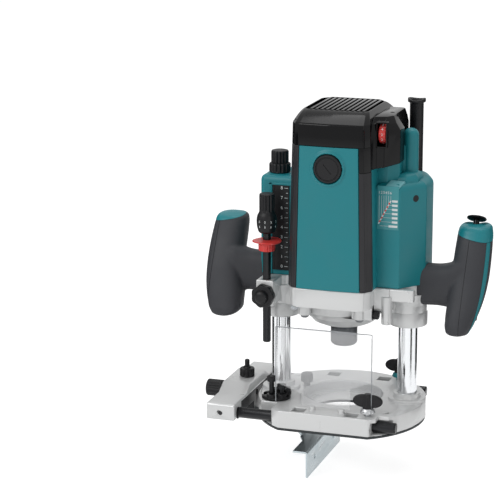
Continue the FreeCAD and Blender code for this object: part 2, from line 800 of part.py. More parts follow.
def motor_bracket():
    """Light-alloy casting: skirt, round floor, bearing hub, two plunge sleeves, depth-rod boss."""
    inner = fuse(prism(body_plan("wall + 0.6"), "skirt_bottom + skirt_sheet", "bracket_top"),
                 rod("side_x - wall - 2.4", "bracket_top", ("0", "0", "bracket_floor + floor_thick")))
    skirt = prism(body_plan("0"), "skirt_bottom", "bracket_top - skirt_bottom")
    floor = rod("floor_radius", "skirt_bottom + 1 - bracket_floor", ("0", "0", "bracket_floor"))
    parts = [cut(fuse(skirt, floor), inner),
             rod("hub_radius", "race_thick + 3", ("0", "0", "bracket_floor")),
             span(("side_x / 2", "-lock_y - screw_boss", "bracket_floor"),
                  ("side_x", "-lock_y + screw_boss", "skirt_bottom + 1")),
             depth_boss(),
             rod("lamp_post_radius", "28", ("lamp_post_x", "-lamp_post_y", "bracket_floor - 5")),
             span(("side_x - bevel", "-lamp_post_y - 3", "bracket_floor + floor_thick"),
                  ("lamp_post_x + 3", "-12", "bracket_top"))]
    cuts = [rod("lower_race", "race_thick", ("0", "0", "bracket_floor")),
            rod("seat_radius + 3", "60", ("0", "0", "bracket_floor")),
            rod("depth_radius + fit", "60", ("-turret_x - turret_pitch", "-turret_y", "sleeve_bottom")),
            rod("stem_radius + fit", "20", ("-turret_x - turret_pitch", "-turret_y", "depth_clamp_z"), "-Y"),
            rod("lock_radius + fit", "18", ("side_x - 8", "-lock_y", "lock_z"), "X")]
    for side in ("-1", "1"):
        parts.append(rod("sleeve_radius", "bracket_top - sleeve_bottom",
                         (f"{side} * post_x", "0", "sleeve_bottom")))
        parts.append(cut(span((f"{side} * neck_block_x - neck_block_half", "-neck_block_half",
                               "bracket_floor"),
                              (f"{side} * neck_block_x + neck_block_half", "neck_block_half", "bracket_top")),
                         inner))
        cuts.append(rod("bush_radius", "60", (f"{side} * post_x", "0", "sleeve_bottom - 1")))
        for end in ("-1", "1"):
            place_x, place_y = f"{side} * cover_screw_x", f"{end} * cover_screw_y"
            parts.append(rod("screw_boss", "skirt_bottom + 1 - bracket_floor",
                             (place_x, place_y, "bracket_floor")))
            cuts.append(rod("screw_radius", "race_thick + 2", (place_x, place_y, "bracket_floor - 1")))
    return node("motor_bracket", cut(fuse(*parts), *cuts))


def sleeve_bushes():
    return node("sleeve_bushes", *[tube("bush_radius", "post_radius + fit", "sleeve_bottom + 1",
                                        "bracket_top - 1",
                                        (f"{side} * post_x", "0")) for side in ("-1", "1")])


def bearing_cover():
    """Shallow dish under the lower bearing."""
    profile = [("seat_radius + 1", "cover_bottom"), ("14", "cover_bottom"), ("22", "cover_bottom + 1.6"),
               ("30", "cover_bottom + 4.8"), ("cover_radius", "cover_bottom + 10.5"),
               ("cover_radius", "bracket_floor"), ("seat_radius + 1", "bracket_floor")]
    return node("bearing_cover", turned(profile))


def motor_housing():
    shell = cut(prism(body_plan("0", False), "bracket_top", "housing_top - bracket_top"),
                prism(body_plan("wall", False), "bracket_top - 1", "housing_top"))
    bridge = span(("-side_x + wall", "-20", "housing_top - 7"), ("side_x - wall", "20", "housing_top"))
    holes = [rod("upper_race", "20", ("0", "0", "housing_top - 8"))]
    for side in ("-Y", "Y"):
        holes.append(rod("10", "90", ("0", "0", "brush_z"), side))
    return node("motor_housing", cut(fuse(shell, bridge), *holes))


def corner_strips():
    strips = []
    for side, top in (("1", "module_bottom"), ("-1", "housing_top")):
        corners = [("front_half", "-front_y"), ("front_half + 5", "-front_y + 1.5"),
                   ("side_x", "-strip_y - 4"),
                   ("side_x", "-strip_y"), ("side_x - 3", "-strip_y"), ("front_half", "-front_y + 4")]
        corners = [(f"{side} * ({across})", back) for across, back in corners]
        strips.append(prism(corners, "bracket_top", f"{top} - bracket_top"))
    return node("corner_strips", *strips)


def top_cover():
    """Vented cap with raised ribs along its top and one leg down the right front corner."""
    block = prism(body_plan("0"), "housing_top", "cap_top - housing_top")
    hollow = prism(body_plan("wall"), "housing_top - 1", "cap_top - housing_top - wall + 1")
    slope = side_profile([("-front_y - 1", "cap_top - cap_slope"), ("-front_y + cap_slope_deep", "cap_top"),
                          ("-front_y + cap_slope_deep", "cap_top + 5"), ("-front_y - 1", "cap_top + 5")],
                         "-side_x - 1", "side_x + 1")
    leg = prism([("front_half", "-front_y"), ("front_half + 5", "-front_y + 1.5"), ("side_x", "-strip_y - 4"),
                 ("side_x", "-strip_y"), ("side_x - 3", "-strip_y"), ("front_half", "-front_y + 4")],
                "module_bottom", "housing_top - module_bottom")
    ribs = []
    vents = []
    for step in range(-5, 6):
        middle = f"{step} * rib_step"
        ribs.append(span((f"{middle} - rib_wide / 2", "-rib_front", "cap_top - 1"),
                         (f"{middle} + rib_wide / 2", "rib_back", "cap_top + rib_high")))
        if step < 5:
            vents.append(span((f"{middle} + rib_step / 2 - vent_wide / 2", "-rib_front + 7",
                               "cap_top - wall - 2"),
                              (f"{middle} + rib_step / 2 + vent_wide / 2", "rib_back - 8", "cap_top + 8")))
    return node("top_cover", cut(fuse(block, leg, *ribs), hollow, slope, *vents))


def control_cover():
    """Black hood over the speed control, with a window for the dial and the dial's axle."""
    notch = "side_x + module_step"
    plan = [("side_x", "-module_front"), ("module_right - 6", "-module_front"),
            ("module_right", "-module_front + 6"),
            ("module_right", "-module_waist"), (notch, "-module_waist + 3"), (notch, "module_rear"),
            ("side_x", "module_rear")]
    inner = [("side_x + wall", "-module_front + wall"), ("module_right - 7", "-module_front + wall"),
             ("module_right - wall", "-module_front + 7.4"), ("module_right - wall", "-module_waist - 1.8"),
             (f"{notch} - wall", "-module_waist + 1"), (f"{notch} - wall", "module_rear - wall"),
             ("side_x + wall", "module_rear - wall")]
    block = prism(plan, "module_bottom", "module_top - module_bottom")
    hollow = prism(inner, "module_bottom - 1", "module_top - module_bottom - wall + 1")
    slope = side_profile([("-module_front - 1", "module_top - 7"), ("-module_front + 18", "module_top"),
                          ("-module_front + 18", "module_top + 9"), ("-module_front - 1", "module_top + 9")],
                         "side_x - 1", "module_right + 1")
    lining = span(("dial_x - dial_wide / 2 - 2", "-module_front + 1", "dial_z - dial_radius - 3"),
                  ("dial_x + dial_wide / 2 + 2", "-dial_y + dial_radius + 3", "dial_z + dial_radius + 1"))
    window = span(("dial_x - dial_wide / 2 - gap", "-module_front - 1", "dial_z - dial_radius - 1"),
                  ("dial_x + dial_wide / 2 + gap", "-dial_y + dial_radius + 1", "dial_z + dial_radius + 0.6"))
    axle = rod("2", "dial_wide + 3", ("dial_x - dial_wide / 2 - 1.5", "-dial_y", "dial_z"), "X")
    hood = cut(cut(block, hollow), slope)
    return node("control_cover", fuse(cut(fuse(hood, common(lining, cut(block, slope))), window), axle))


def speed_dial():
    wheel = tube("dial_radius", "2 + fit", "dial_x - dial_wide / 2", "dial_x + dial_wide / 2",
                 ("-dial_y", "dial_z"), "X")
    return node("speed_dial", wheel)


def right_cover_solid():
    plan = [("side_x", "-cover_front"), ("cover_right - 21.5", "-cover_front"),
            ("cover_right", "-cover_front + 26"), ("cover_right", "cover_rear - 28"),
            ("cover_right - 8", "cover_rear - 10"), ("cover_right - 16", "cover_rear"),
            ("side_x", "cover_rear")]
    notch = "side_x + module_step"
    step = [("side_x", "-cover_front"), ("module_right - 6.5", "-cover_front"),
            ("module_right - 2.5", "-cover_front + 4"), ("module_right - 2.5", "-module_waist"),
            (notch, "-module_waist + 3"),
            (notch, "module_rear - 6"), ("side_x", "module_rear - 6")]
    low = round_edges(prism(plan, "bracket_top", "shoulder_top - bracket_top"), SOFT_CORNER, upright)
    high = prism(step, "bracket_top", "module_bottom - bracket_top")
    column = rod("column_radius", "column_top - bracket_top - 3", ("post_x", "0", "bracket_top"))
    dome = turned([("0", "column_top - 3"), ("column_radius", "column_top - 3"),
                   ("column_radius - 2.5", "column_top"), ("0", "column_top")], ("post_x", "0", "0"))
    return low, high, column, dome


def right_cover():
    cavity = rod("cavity_radius", "shoulder_top - bracket_top - 4", ("post_x", "0", "bracket_top"))
    return node("right_cover", cut(fuse(*right_cover_solid()), cavity))


def left_cover_solid():
    plan = [("-side_x", "-left_front"), ("-left_side + 4", "-left_front"), ("-left_side", "-left_front + 4"),
            ("-left_side", "left_rear - 12"), ("-left_side + 8", "left_rear"), ("-side_x", "left_rear")]
    return prism(plan, "bracket_top", "left_top - bracket_top")


def left_cover():
    cavity = rod("cavity_radius", "left_top - bracket_top - 5", ("-post_x", "0", "bracket_top"))
    hole = rod("limit_radius + gap", "30", ("-limit_x", "0", "left_top - 20"))
    return node("left_cover", cut(left_cover_solid(), cavity, hole))


def scale_plate():
    return node("scale_plate", span(("-plate_left", "-left_front - plate_thick", "plate_bottom"),
                                    ("-plate_left + plate_wide", "-left_front", "plate_top")))


def cord_guard():
    """Inlet tube of the supply cord, with a rolled rim."""
    profile = [("cord_bore", "shoulder_top"), ("cord_radius + 1", "shoulder_top"),
               ("cord_radius", "shoulder_top + 3"),
               ("cord_radius", "cord_top - 5"), ("cord_radius + 2.2", "cord_top - 2.6"),
               ("cord_radius + 2.2", "cord_top - 0.8"), ("cord_radius + 1.4", "cord_top"),
               ("cord_bore + bevel", "cord_top"), ("cord_bore", "cord_top - 4")]
    return node("cord_guard", turned(profile, ("cord_x", "cord_y", "0")))


def housing_screws():
    screws = []
    for side in ("-1", "1"):
        for end in ("-1", "1"):
            low = "bracket_floor"
            screws.append(turned([("0", f"{low} - 2.6"), ("3", f"{low} - 2.6"),
                                  ("screw_head", f"{low} - 1.6"),
                                  ("screw_head", low), ("screw_radius", low), ("screw_radius", f"{low} + 14"),
                                  ("0", f"{low} + 14")],
                                 (f"{side} * cover_screw_x", f"{end} * cover_screw_y", "0")))
    return node("housing_screws", *screws)


def lamp():
    return node("lamp", *[turned([("0", "-3"), ("3", "-3"), ("4", "-1"), ("4", "0"), ("0", "0")],
                                 at)
                          for at in (("-side_x + 4", "-strip_y - 1", "skirt_bottom"),
                                     ("side_x - 5", "-strip_y / 2 + 2", "bracket_floor"))])


# ---------------------------------------------------------------- spindle and motor

def spindle():
    profile = [("0", "nut_top - 1"), ("collet_radius", "nut_top - 1"), ("collet_radius", "nut_top + 2"),
               ("seat_radius", "nut_top + 2"), ("seat_radius", "bracket_floor + race_thick + 2"),
               ("shaft_radius", "bracket_floor + race_thick + 2"), ("shaft_radius", "housing_top - 9"),
               ("top_seat", "housing_top - 9"), ("top_seat", "housing_top + 3"), ("0", "housing_top + 3")]
    return node("spindle", turned(profile))


def collet():
    profile = [("shank_radius", "nut_bottom + 0.8"), ("collet_radius - 2", "nut_bottom + 0.8"),
               ("collet_radius", "nut_bottom + 4"),
               ("collet_radius", "nut_top - 1"), ("shank_radius", "nut_top - 1")]
    slits = [box(("2 * slit_half", "2 * nut_radius", "14"), ("-slit_half", "-nut_radius", "nut_bottom")),
             box(("2 * nut_radius", "2 * slit_half", "14"), ("-nut_radius", "-slit_half", "nut_bottom"))]
    return node("collet", cut(turned(profile), *slits))


def collet_nut():
    profile = [("collet_radius - 2", "nut_bottom"), ("nut_radius - 2.2", "nut_bottom"),
               ("nut_radius", "nut_bottom + 2.4"),
               ("nut_radius", "nut_top - 2"), ("nut_radius - 0.6", "nut_top - 1.4"),
               ("nut_radius - 0.6", "nut_top"),
               ("collet_radius", "nut_top"), ("collet_radius", "nut_bottom + 4"),
               ("collet_radius - 2", "nut_bottom + 0.8")]
    return node("collet_nut", turned(profile))


def bearings():
    low = node("lower_bearing", tube("lower_race", "seat_radius + fit", "bracket_floor",
                                     "bracket_floor + race_thick"))
    high = node("upper_bearing", tube("upper_race", "top_seat + fit", "housing_top - 7.5",
                                      "housing_top + 1.5"))
    return low, high


def armature():
    core = tube("core_radius", "shaft_radius", "core_bottom", "core_top")
    slots = []
    for step in range(12):
        angle = 30 * step
        across = math.cos(math.radians(angle))
        back = math.sin(math.radians(angle))
        slots.append(rod("core_radius / 10", "80",
                         (f"core_radius * {across:.6f}", f"core_radius * {back:.6f}", "core_bottom - 5")))
    return node("armature", cut(core, *slots))


def commutator():
    return node("commutator", tube("comm_radius", "shaft_radius", "brush_z - comm_half",
                                   "brush_z + comm_half - 1"))


def stator():
    return node("stator", tube("stator_radius", "core_radius + air_gap", "core_bottom", "core_top"))


def fan():
    """Hub disc with twelve straight blades."""
    disc = tube("fan_radius", "shaft_radius", "bracket_top + 3", "bracket_top + 5")
    hub = tube("fan_hub", "shaft_radius", "bracket_top + 3", "bracket_top + fan_high + 6")
    blades = []
    for step in range(12):
        blade = doc.addObject("Part::Box", "blade")
        bind(blade, "Length", "fan_radius - fan_hub")
        bind(blade, "Width", "1.4")
        bind(blade, "Height", "fan_high")
        turn = FreeCAD.Rotation(FreeCAD.Vector(0, 0, 1), 30 * step)
        blade.Placement = FreeCAD.Placement(FreeCAD.Vector(), turn)
        across = math.cos(math.radians(30 * step))
        back = math.sin(math.radians(30 * step))
        bind(blade, "Placement.Base.x", f"(fan_hub - gap) * {across:.6f}")
        bind(blade, "Placement.Base.y", f"(fan_hub - gap) * {back:.6f}")
        bind(blade, "Placement.Base.z", "bracket_top + 4.5")
        blades.append(blade)
    return node("fan", fuse(disc, hub, *blades))


def brush_set():
    caps = []
    sleeves = []
    carbons = []
    for along, face, sign in (("-Y", "front_y", "-1"), ("Y", "rear_y", "1")):
        at = ("0", "0", "brush_z")
        caps.append(turned([("0", f"{face} - 6"), ("holder_radius", f"{face} - 6"), ("holder_radius", face),
                            ("brush_cap_radius", face), ("brush_cap_radius", f"{face} + 3"),
                            ("brush_cap_radius - bevel", f"{face} + 4"), ("0", f"{face} + 4")], at, along))
        sleeve = rod("holder_radius", f"{face} - 6 - (comm_radius + 3)",
                     ("0", f"{sign} * (comm_radius + 3)", "brush_z"), along)
        slot = span(("-brush_half", "-2 * front_y", "brush_z - brush_half"),
                    ("brush_half", "2 * front_y", "brush_z + brush_half"))
        sleeves.append(cut(sleeve, slot))
        carbons.append(box(("2 * brush_half", "brush_long", "2 * brush_half"),
                           ("-brush_half", f"{sign} * (comm_radius + 0.3) - brush_long * ({sign} < 0)",
                            "brush_z - brush_half")))
    node("brush_caps", *caps)
    node("brush_holders", *sleeves)
    node("carbon_brushes", *carbons)


def control_board():
    right = "side_x + module_step - wall"
    board = span(("side_x + wall + gap", "-module_waist - 2", "module_bottom + 2"),
                 (f"{right} - gap", "module_rear - 4", "module_bottom + 4"))
    chip = span(("side_x + wall + 2", "0", "module_bottom + 4"), (f"{right} - 1.4", "20",
                                                                  "module_bottom + 20"))
    return node("control_board", fuse(board, chip))


# ---------------------------------------------------------------- depth rod and knobs

def depth_rod():
    at = ("-turret_x - turret_pitch", "-turret_y", "0")
    bar = turned([("0", "depth_bottom"), ("depth_radius - 1", "depth_bottom"),
                  ("depth_radius", "depth_bottom + 1"),
                  ("depth_radius", "depth_shoulder"), ("depth_neck", "depth_shoulder"),
                  ("depth_neck", "knob_top - 6"), ("0", "knob_top - 6")], at)
    return node("depth_rod", bar)


def depth_pointer():
    at = ("-turret_x - turret_pitch", "-turret_y", "0")
    low = "pointer_bottom"
    ring = turned([("depth_radius + fit", low), ("7", low), ("7.6", f"{low} + 0.6"), ("7.6", f"{low} + 8"),
                   ("pointer_radius", f"{low} + 8.6"), ("pointer_radius", f"{low} + 10.6"),
                   ("depth_radius + fit", f"{low} + 11.4")], at)
    return node("depth_pointer", ring)


def fine_knob():
    at = ("-turret_x - turret_pitch", "-turret_y", "0")
    low = "depth_shoulder + gap"
    knob = turned([("depth_neck + fit", low), ("knob_radius - 0.8", low), ("knob_radius", f"{low} + 2"),
                   ("knob_radius", "knob_top - 24"), ("0.75 * knob_radius", "knob_top - 18"),
                   ("0.75 * knob_radius", "knob_top - bevel"), ("0.67 * knob_radius", "knob_top"),
                   ("0", "knob_top"), ("0", "knob_top - 5"), ("depth_neck + fit", "knob_top - 5")], at)
    return node("fine_knob", knob)


def depth_clamp_knob():
    at = ("-turret_x - turret_pitch", "0", "depth_clamp_z")
    tip = "turret_y + depth_radius + gap"
    knob = turned([("0", tip), ("stem_radius", tip), ("stem_radius", "boss_front + gap"),
                   ("depth_clamp_radius", "boss_front + gap"), ("depth_clamp_radius", "boss_front + 7"),
                   ("depth_clamp_radius - 1.5", "boss_front + 8.5"),
                   ("clamp_dome_radius", "boss_front + 8.5"), ("clamp_dome_radius", "boss_front + 12"),
                   ("0.6 * clamp_dome_radius", "boss_front + 15"), ("0", "boss_front + 15")], at, "-Y")
    return node("depth_clamp_knob", knob)


def limit_knob():
    low = "left_top + gap"
    wide = "limit_knob_radius"
    high = "limit_knob_top"
    knob = turned([("limit_radius + fit", low), (f"{wide} - 0.8", low), (wide, f"{low} + 0.8"),
                   (wide, f"{high} - 12"), (f"{wide} - 0.8", f"{high} - 11"), (f"{wide} - 2", f"{high} - 11"),
                   (f"{wide} - 2", f"{high} - bevel"), (f"{wide} - 2.8", high), ("0", high),
                   ("0", "limit_top + bevel"), ("limit_radius + fit", "limit_top + bevel")],
                  ("-limit_x", "0", "0"))
    return node("limit_knob", knob)


def shaft_lock():
    pin = turned([("0", "side_x - 3.5"), ("lock_radius", "side_x - 3.5"), ("lock_radius", "side_x + 5"),
                  ("lock_radius - bevel", "side_x + 6"), ("0", "side_x + 6")], ("0", "-lock_y", "lock_z"),
                 "X")
    return node("shaft_lock", pin)


def plunge_lever():
    """Lever behind the left sleeve that locks the plunge."""
    low = "sleeve_radius + gap"
    hub = turned([("0", low), ("lever_radius", low), ("lever_radius", "sleeve_radius + 8.5"),
                  ("lever_radius - bevel", "sleeve_radius + 9.5"), ("0", "sleeve_radius + 9.5")],
                 ("-post_x", "0", "lever_z"), "Y")
    arm = span(("-post_x - lever_half", "sleeve_radius + 2.5", "lever_tip"),
               ("-post_x + lever_half", "sleeve_radius + 7.5", "lever_z"))
    return node("plunge_lever", round_edges(fuse(hub, arm), LEVER_CORNER, along_y_low))


# ---------------------------------------------------------------- handles

def grip_point(share):
    """Formulas for the place on the grip's axis at a share of its height."""
    middle = f"grip_low_y + (grip_high_y - grip_low_y) * {share}"
    return middle, f"grip_bottom + (grip_top - grip_bottom) * {share}"


def handle_blank(side):
    """Leaning palm grip with a neck that runs in to the machine."""
    rings = []
    for share, swell in GRIP_RINGS:
        back, up = grip_point(share)
        if side == "1":
            back = f"{back} + right_rise * {0.55 * share ** 3:.3f}"
            up = f"{up} + right_rise * {share ** 3:.3f}"
        rings.append(((f"{side} * (grip_x - grip_tuck * {1 - share:.2f})", back, up),
                      f"grip_half_x * {swell}", f"grip_half_y * {swell}", "Z"))
    grip = loft(rings)
    neck_rings = []
    for away, swell in NECK_RINGS:
        neck_rings.append(((f"{side} * ({away})", "0", "neck_z"), f"neck_half_y * {swell} * 0.8",
                           f"neck_half_z * {swell}", "X"))
    return fuse(grip, loft(neck_rings))


def grip_box(side, low, high):
    """Block squared to the leaning grip; corners are measured from the middle of its axis."""
    lean_cos = math.cos(math.radians(GRIP_LEAN))
    lean_sin = math.sin(math.radians(GRIP_LEAN))
    back, up = grip_point(0.5)
    at = (f"{side} * grip_x + {low[0]}",
          f"{back} + ({low[1]}) * {lean_cos:.6f} + ({low[2]}) * {lean_sin:.6f}",
          f"{up} - ({low[1]}) * {lean_sin:.6f} + ({low[2]}) * {lean_cos:.6f}")
    size = [f"({top}) - ({bottom})" for bottom, top in zip(low, high)]
    return box(size, at, "grip")


def cap_block(side):
    """Everything above the line where the handle's top cap begins."""
    return grip_box(side, ("-40", "-80", "cap_line"), ("40", "80", "cap_line + 60"))


def handle(side, body_solids):
    """Shell and top cap of one handle, cut to sit against the machine."""
    blank = cut(handle_blank(side), *body_solids)
    shell = cut(blank, cap_block(side))
    cap = common(blank, cap_block(side))
    return shell, cap


def handles():
    left_solids = [left_cover_solid(), depth_boss(),
                   rod("sleeve_radius", "bracket_top - sleeve_bottom", ("-post_x", "0", "sleeve_bottom"))]
    shell, cap = handle("-1", left_solids)
    node("left_handle", shell)
    node("left_handle_cap", cap)
    right_solids = list(right_cover_solid())
    right_solids.append(rod("sleeve_radius", "bracket_top - sleeve_bottom", ("post_x", "0", "sleeve_bottom")))
    shell, cap = handle("1", right_solids)
    pocket = grip_box("1", ("-trigger_half - gap", "-5", "trigger_low - gap"),
                      ("trigger_half + gap", "40", "trigger_high + gap"))
    bore = rod("stem_radius + fit", "40", BUTTON_FOOT, "grip")
    dish = turned([("0", "button_seat"), ("button_radius - 3", "button_seat"),
                   ("button_radius + 1.5", "button_seat + 2"), ("button_radius + 1.5", "60"), ("0", "60")],
                  BUTTON_FOOT, "grip")
    node("right_handle", cut(shell, pocket, bore))
    node("right_handle_cap", cut(cap, bore, dish))


def trigger():
    paddle = grip_box("1", ("-trigger_half", "6", "trigger_low"), ("trigger_half", "trigger_out",
                                                                   "trigger_high"))
    return node("trigger", paddle)


def trigger_switch():
    return node("trigger_switch", grip_box("1", ("-trigger_half - gap", "-5", "-25"),
                                           ("trigger_half + gap", "0", "5")))


def lock_button():
    low = "button_seat + button_lift"
    foot = "button_travel + gap"
    profile = [("0", foot), ("stem_radius", foot), ("stem_radius", low),
               ("button_radius - 0.6", f"{low} + 0.6"),
               ("button_radius", f"{low} + 1.4"), ("button_radius - 3", f"{low} + 3.6"),
               ("stem_radius", f"{low} + 4.6"), ("0", f"{low} + 4.6")]
    return node("lock_button", turned(profile, BUTTON_FOOT, "grip"))


base_casting()
sole_plate()
sole_screws()
plunge_post("left_post", "-1")
plunge_post("right_post", "1")
limit_rod()
return_springs()
chip_deflector()
ring_screw()
wing_bolt("front_wing_bolt", "-1")
wing_bolt("rear_wing_bolt", "1")
turret()
turret_screws()
guide_rods()
guide_holder()
fence_slide()
fence()
fence_adjuster()
guide_clamp_knob()
motor_bracket()
sleeve_bushes()
bearing_cover()
motor_housing()
corner_strips()
top_cover()
control_cover()
speed_dial()
right_cover()
left_cover()
scale_plate()
cord_guard()
housing_screws()
lamp()
spindle()
collet()
collet_nut()
bearings()
armature()
commutator()
stator()
fan()
brush_set()
control_board()
depth_rod()
depth_pointer()
fine_knob()
depth_clamp_knob()
limit_knob()
shaft_lock()
plunge_lever()
handles()
trigger()
trigger_switch()
lock_button()

doc.recompute()
for thing in doc.Objects:
    if "Invalid" in thing.State or "Error" in thing.State:
        raise RuntimeError(f"{thing.Name} {thing.Label} failed: {thing.State}")
for thing in nodes:
    if thing.Shape.isNull() or not thing.Shape.isValid():
        raise RuntimeError(f"{thing.Label} has no valid shape")
os.makedirs("parts", exist_ok=True)
for thing in nodes:
    thing.Shape.exportStep(f"parts/{thing.Label}.step")
print(len(nodes), "nodes")
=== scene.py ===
import json
import math

import bmesh
import bpy
import numpy as np
from mathutils import Matrix, Vector

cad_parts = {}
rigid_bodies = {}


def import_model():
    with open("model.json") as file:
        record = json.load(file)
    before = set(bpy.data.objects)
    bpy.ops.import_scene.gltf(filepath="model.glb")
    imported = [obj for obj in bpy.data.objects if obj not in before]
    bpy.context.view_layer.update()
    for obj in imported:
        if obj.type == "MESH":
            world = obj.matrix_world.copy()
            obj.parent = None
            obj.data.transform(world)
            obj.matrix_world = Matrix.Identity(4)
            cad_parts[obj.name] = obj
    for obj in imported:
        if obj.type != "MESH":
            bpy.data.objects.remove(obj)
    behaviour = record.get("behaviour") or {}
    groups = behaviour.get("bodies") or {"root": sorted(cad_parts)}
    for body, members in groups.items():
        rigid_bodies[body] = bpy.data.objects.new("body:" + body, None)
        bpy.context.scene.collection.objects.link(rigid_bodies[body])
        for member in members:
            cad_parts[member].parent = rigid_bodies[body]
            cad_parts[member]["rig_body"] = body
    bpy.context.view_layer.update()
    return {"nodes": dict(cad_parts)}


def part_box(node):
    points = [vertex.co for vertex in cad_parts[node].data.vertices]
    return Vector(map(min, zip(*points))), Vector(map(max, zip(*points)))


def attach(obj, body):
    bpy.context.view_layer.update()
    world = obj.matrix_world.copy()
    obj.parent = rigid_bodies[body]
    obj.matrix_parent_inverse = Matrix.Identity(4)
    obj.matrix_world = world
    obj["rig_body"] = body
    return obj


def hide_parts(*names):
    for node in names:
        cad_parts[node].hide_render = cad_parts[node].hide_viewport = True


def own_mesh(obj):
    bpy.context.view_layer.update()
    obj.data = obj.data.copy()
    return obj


bl_info = {
    "name": "Plunge router",
    "version": (1, 0, 0),
    "blender": (4, 5, 0),
    "location": "3D View > Sidebar > Router",
    "description": "Builds the finished surfaces of a two-handed plunge router around its frame",
    "category": "Object",
}

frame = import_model()
MM = 0.001
WELD = 2e-6  # points closer than this many metres are one
LEAN = math.atan2(53.0, 96.0)  # each grip leans back by 53 in a height of 96

# Directions that a piece is built along: columns are where its own X, Y and Z point.
ALONG = {
    "Z": np.eye(3),
    "-Z": np.diag([1.0, -1.0, -1.0]),
    "X": np.array([[0, 0, 1], [1, 0, 0], [0, 1, 0]], float),
    "-X": np.array([[0, 0, -1], [-1, 0, 0], [0, 1, 0]], float),
    "Y": np.array([[-1, 0, 0], [0, 0, 1], [0, 1, 0]], float),
    "-Y": np.array([[1, 0, 0], [0, 0, -1], [0, 1, 0]], float),
    "grip": np.array([[1, 0, 0],
                      [0, math.cos(LEAN), math.sin(LEAN)], [0, -math.sin(LEAN), math.cos(LEAN)]]),
}


def box_mm(node):
    """Lowest and highest corner of a frame node in millimetres."""
    low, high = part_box(node)
    return np.array(low) / MM, np.array(high) / MM


def middle_of(node):
    """Centre of a frame node's box in millimetres."""
    return sum(box_mm(node)) / 2


POST_X = float(middle_of("right_post")[0])
ROD_X, ROD_Y = (float(value) for value in middle_of("depth_rod")[:2])


# ------------------------------------------------------------------ surfaces

def level(plan, height):
    """Plan of (x, y) points laid at a height."""
    return np.concatenate([plan, np.full((len(plan), 1), height)], axis=1)


def skin(rings, ends=True):
    """Four-sided faces between neighbouring rings of a (rows, columns, 3) array; a flat face shuts each end."""
    rings = np.array(rings)
    rows, columns = rings.shape[:2]
    index = np.arange(rows * columns).reshape(rows, columns)
    ahead = np.roll(index, -1, axis=1)
    faces = np.stack([index[:-1], ahead[:-1], ahead[1:], index[1:]], axis=-1).reshape(-1, 4).tolist()
    if ends:
        faces += [index[0][::-1].tolist(), index[-1].tolist()]
    return rings.reshape(-1, 3), faces


def join(*parts):
    """One set of points and faces from several."""
    points, faces, count = [], [], 0
    for some_points, some_faces in parts:
        points.append(some_points)
        faces += [[number + count for number in face] for face in some_faces]
        count += len(some_points)
    return np.concatenate(points), faces


def set_along(points, at, along):
    """Points turned so their own Z runs along a direction, then moved to a place."""
    return points @ ALONG[along].T + np.array(at, float)


def moved(part, at, along="Z"):
    """A whole part turned and moved."""
    return set_along(part[0], at, along), part[1]


def spun(degrees):
    """Matrix that turns rows of points about Z, anticlockwise as seen from above."""
    turn = math.radians(degrees)
    return np.array([[math.cos(turn), -math.sin(turn), 0], [math.sin(turn), math.cos(turn), 0], [0, 0, 1]]).T


def smooth_step(value, low, high):
    """0 below low, 1 above high, and 3t^2 - 2t^3 in between."""
    share = np.clip((value - low) / (high - low), 0, 1)
    return share * share * (3 - 2 * share)


def finer(profile, step):
    """The same broken line with points added so that no stretch is longer than a step."""
    profile = np.array(profile, float)
    out = [profile[:1]]
    for start, end in zip(profile[:-1], profile[1:]):
        count = max(1, int(np.ceil(np.linalg.norm(end - start) / step)))
        shares = np.arange(1, count + 1)[:, None] / count
        out.append(start + (end - start) * shares)
    return np.concatenate(out)


def turned(profile, at=(0, 0, 0), along="Z", steps=64, flutes=None):
    """Round piece: each (radius, height) of the profile goes once round the axis.
    flutes is (count, depth, low, high, power): between two heights the radius is less by
    depth * ((1 - cos(count * angle)) / 2) ** power."""
    profile = finer(profile, 1.2) if flutes else np.array(profile, float)
    angle = np.arange(steps) * 2 * math.pi / steps
    radius = profile[:, :1] + 0 * angle
    if flutes:
        count, depth, low, high, power = flutes
        inside = smooth_step(profile[:, 1:], low, low + 1.0)
        inside = inside * (1 - smooth_step(profile[:, 1:], high - 1.0, high))
        wave = (0.5 - 0.5 * np.cos(count * angle)) ** power
        radius = np.maximum(radius - depth * wave * inside * (radius > depth * 2), 0)
    height = profile[:, 1:] + 0 * angle
    rings = np.stack([radius * np.cos(angle), radius * np.sin(angle), height], axis=-1)
    return moved(skin(rings, ends=False), at, along)


def rounded(corners, radius, steps=5):
    """Closed plan with an arc at each corner: a rational curve from side to side, exact for a circle.
    A radius may be one number or one for each corner."""
    corner = np.array(corners, float)
    radius = np.broadcast_to(np.array(radius, float), len(corner))
    back = np.roll(corner, 1, axis=0) - corner
    ahead = np.roll(corner, -1, axis=0) - corner
    back_long = np.linalg.norm(back, axis=1)
    ahead_long = np.linalg.norm(ahead, axis=1)
    back = back / back_long[:, None]
    ahead = ahead / ahead_long[:, None]
    half = np.arccos(np.clip((back * ahead).sum(1), -1, 1)) / 2
    tangent = np.minimum(radius / np.tan(np.clip(half, 0.05, 1.57)), 0.46 * np.minimum(back_long, ahead_long))
    share = np.linspace(0, 1, steps)[None, :, None]
    weight = np.sin(half)[:, None, None]
    first = (corner + back * tangent[:, None])[:, None]
    last = (corner + ahead * tangent[:, None])[:, None]
    top = (1 - share) ** 2 * first + 2 * share * (1 - share) * weight * corner[:, None] + share ** 2 * last
    return (top / ((1 - share) ** 2 + 2 * share * (1 - share) * weight + share ** 2)).reshape(-1, 2)


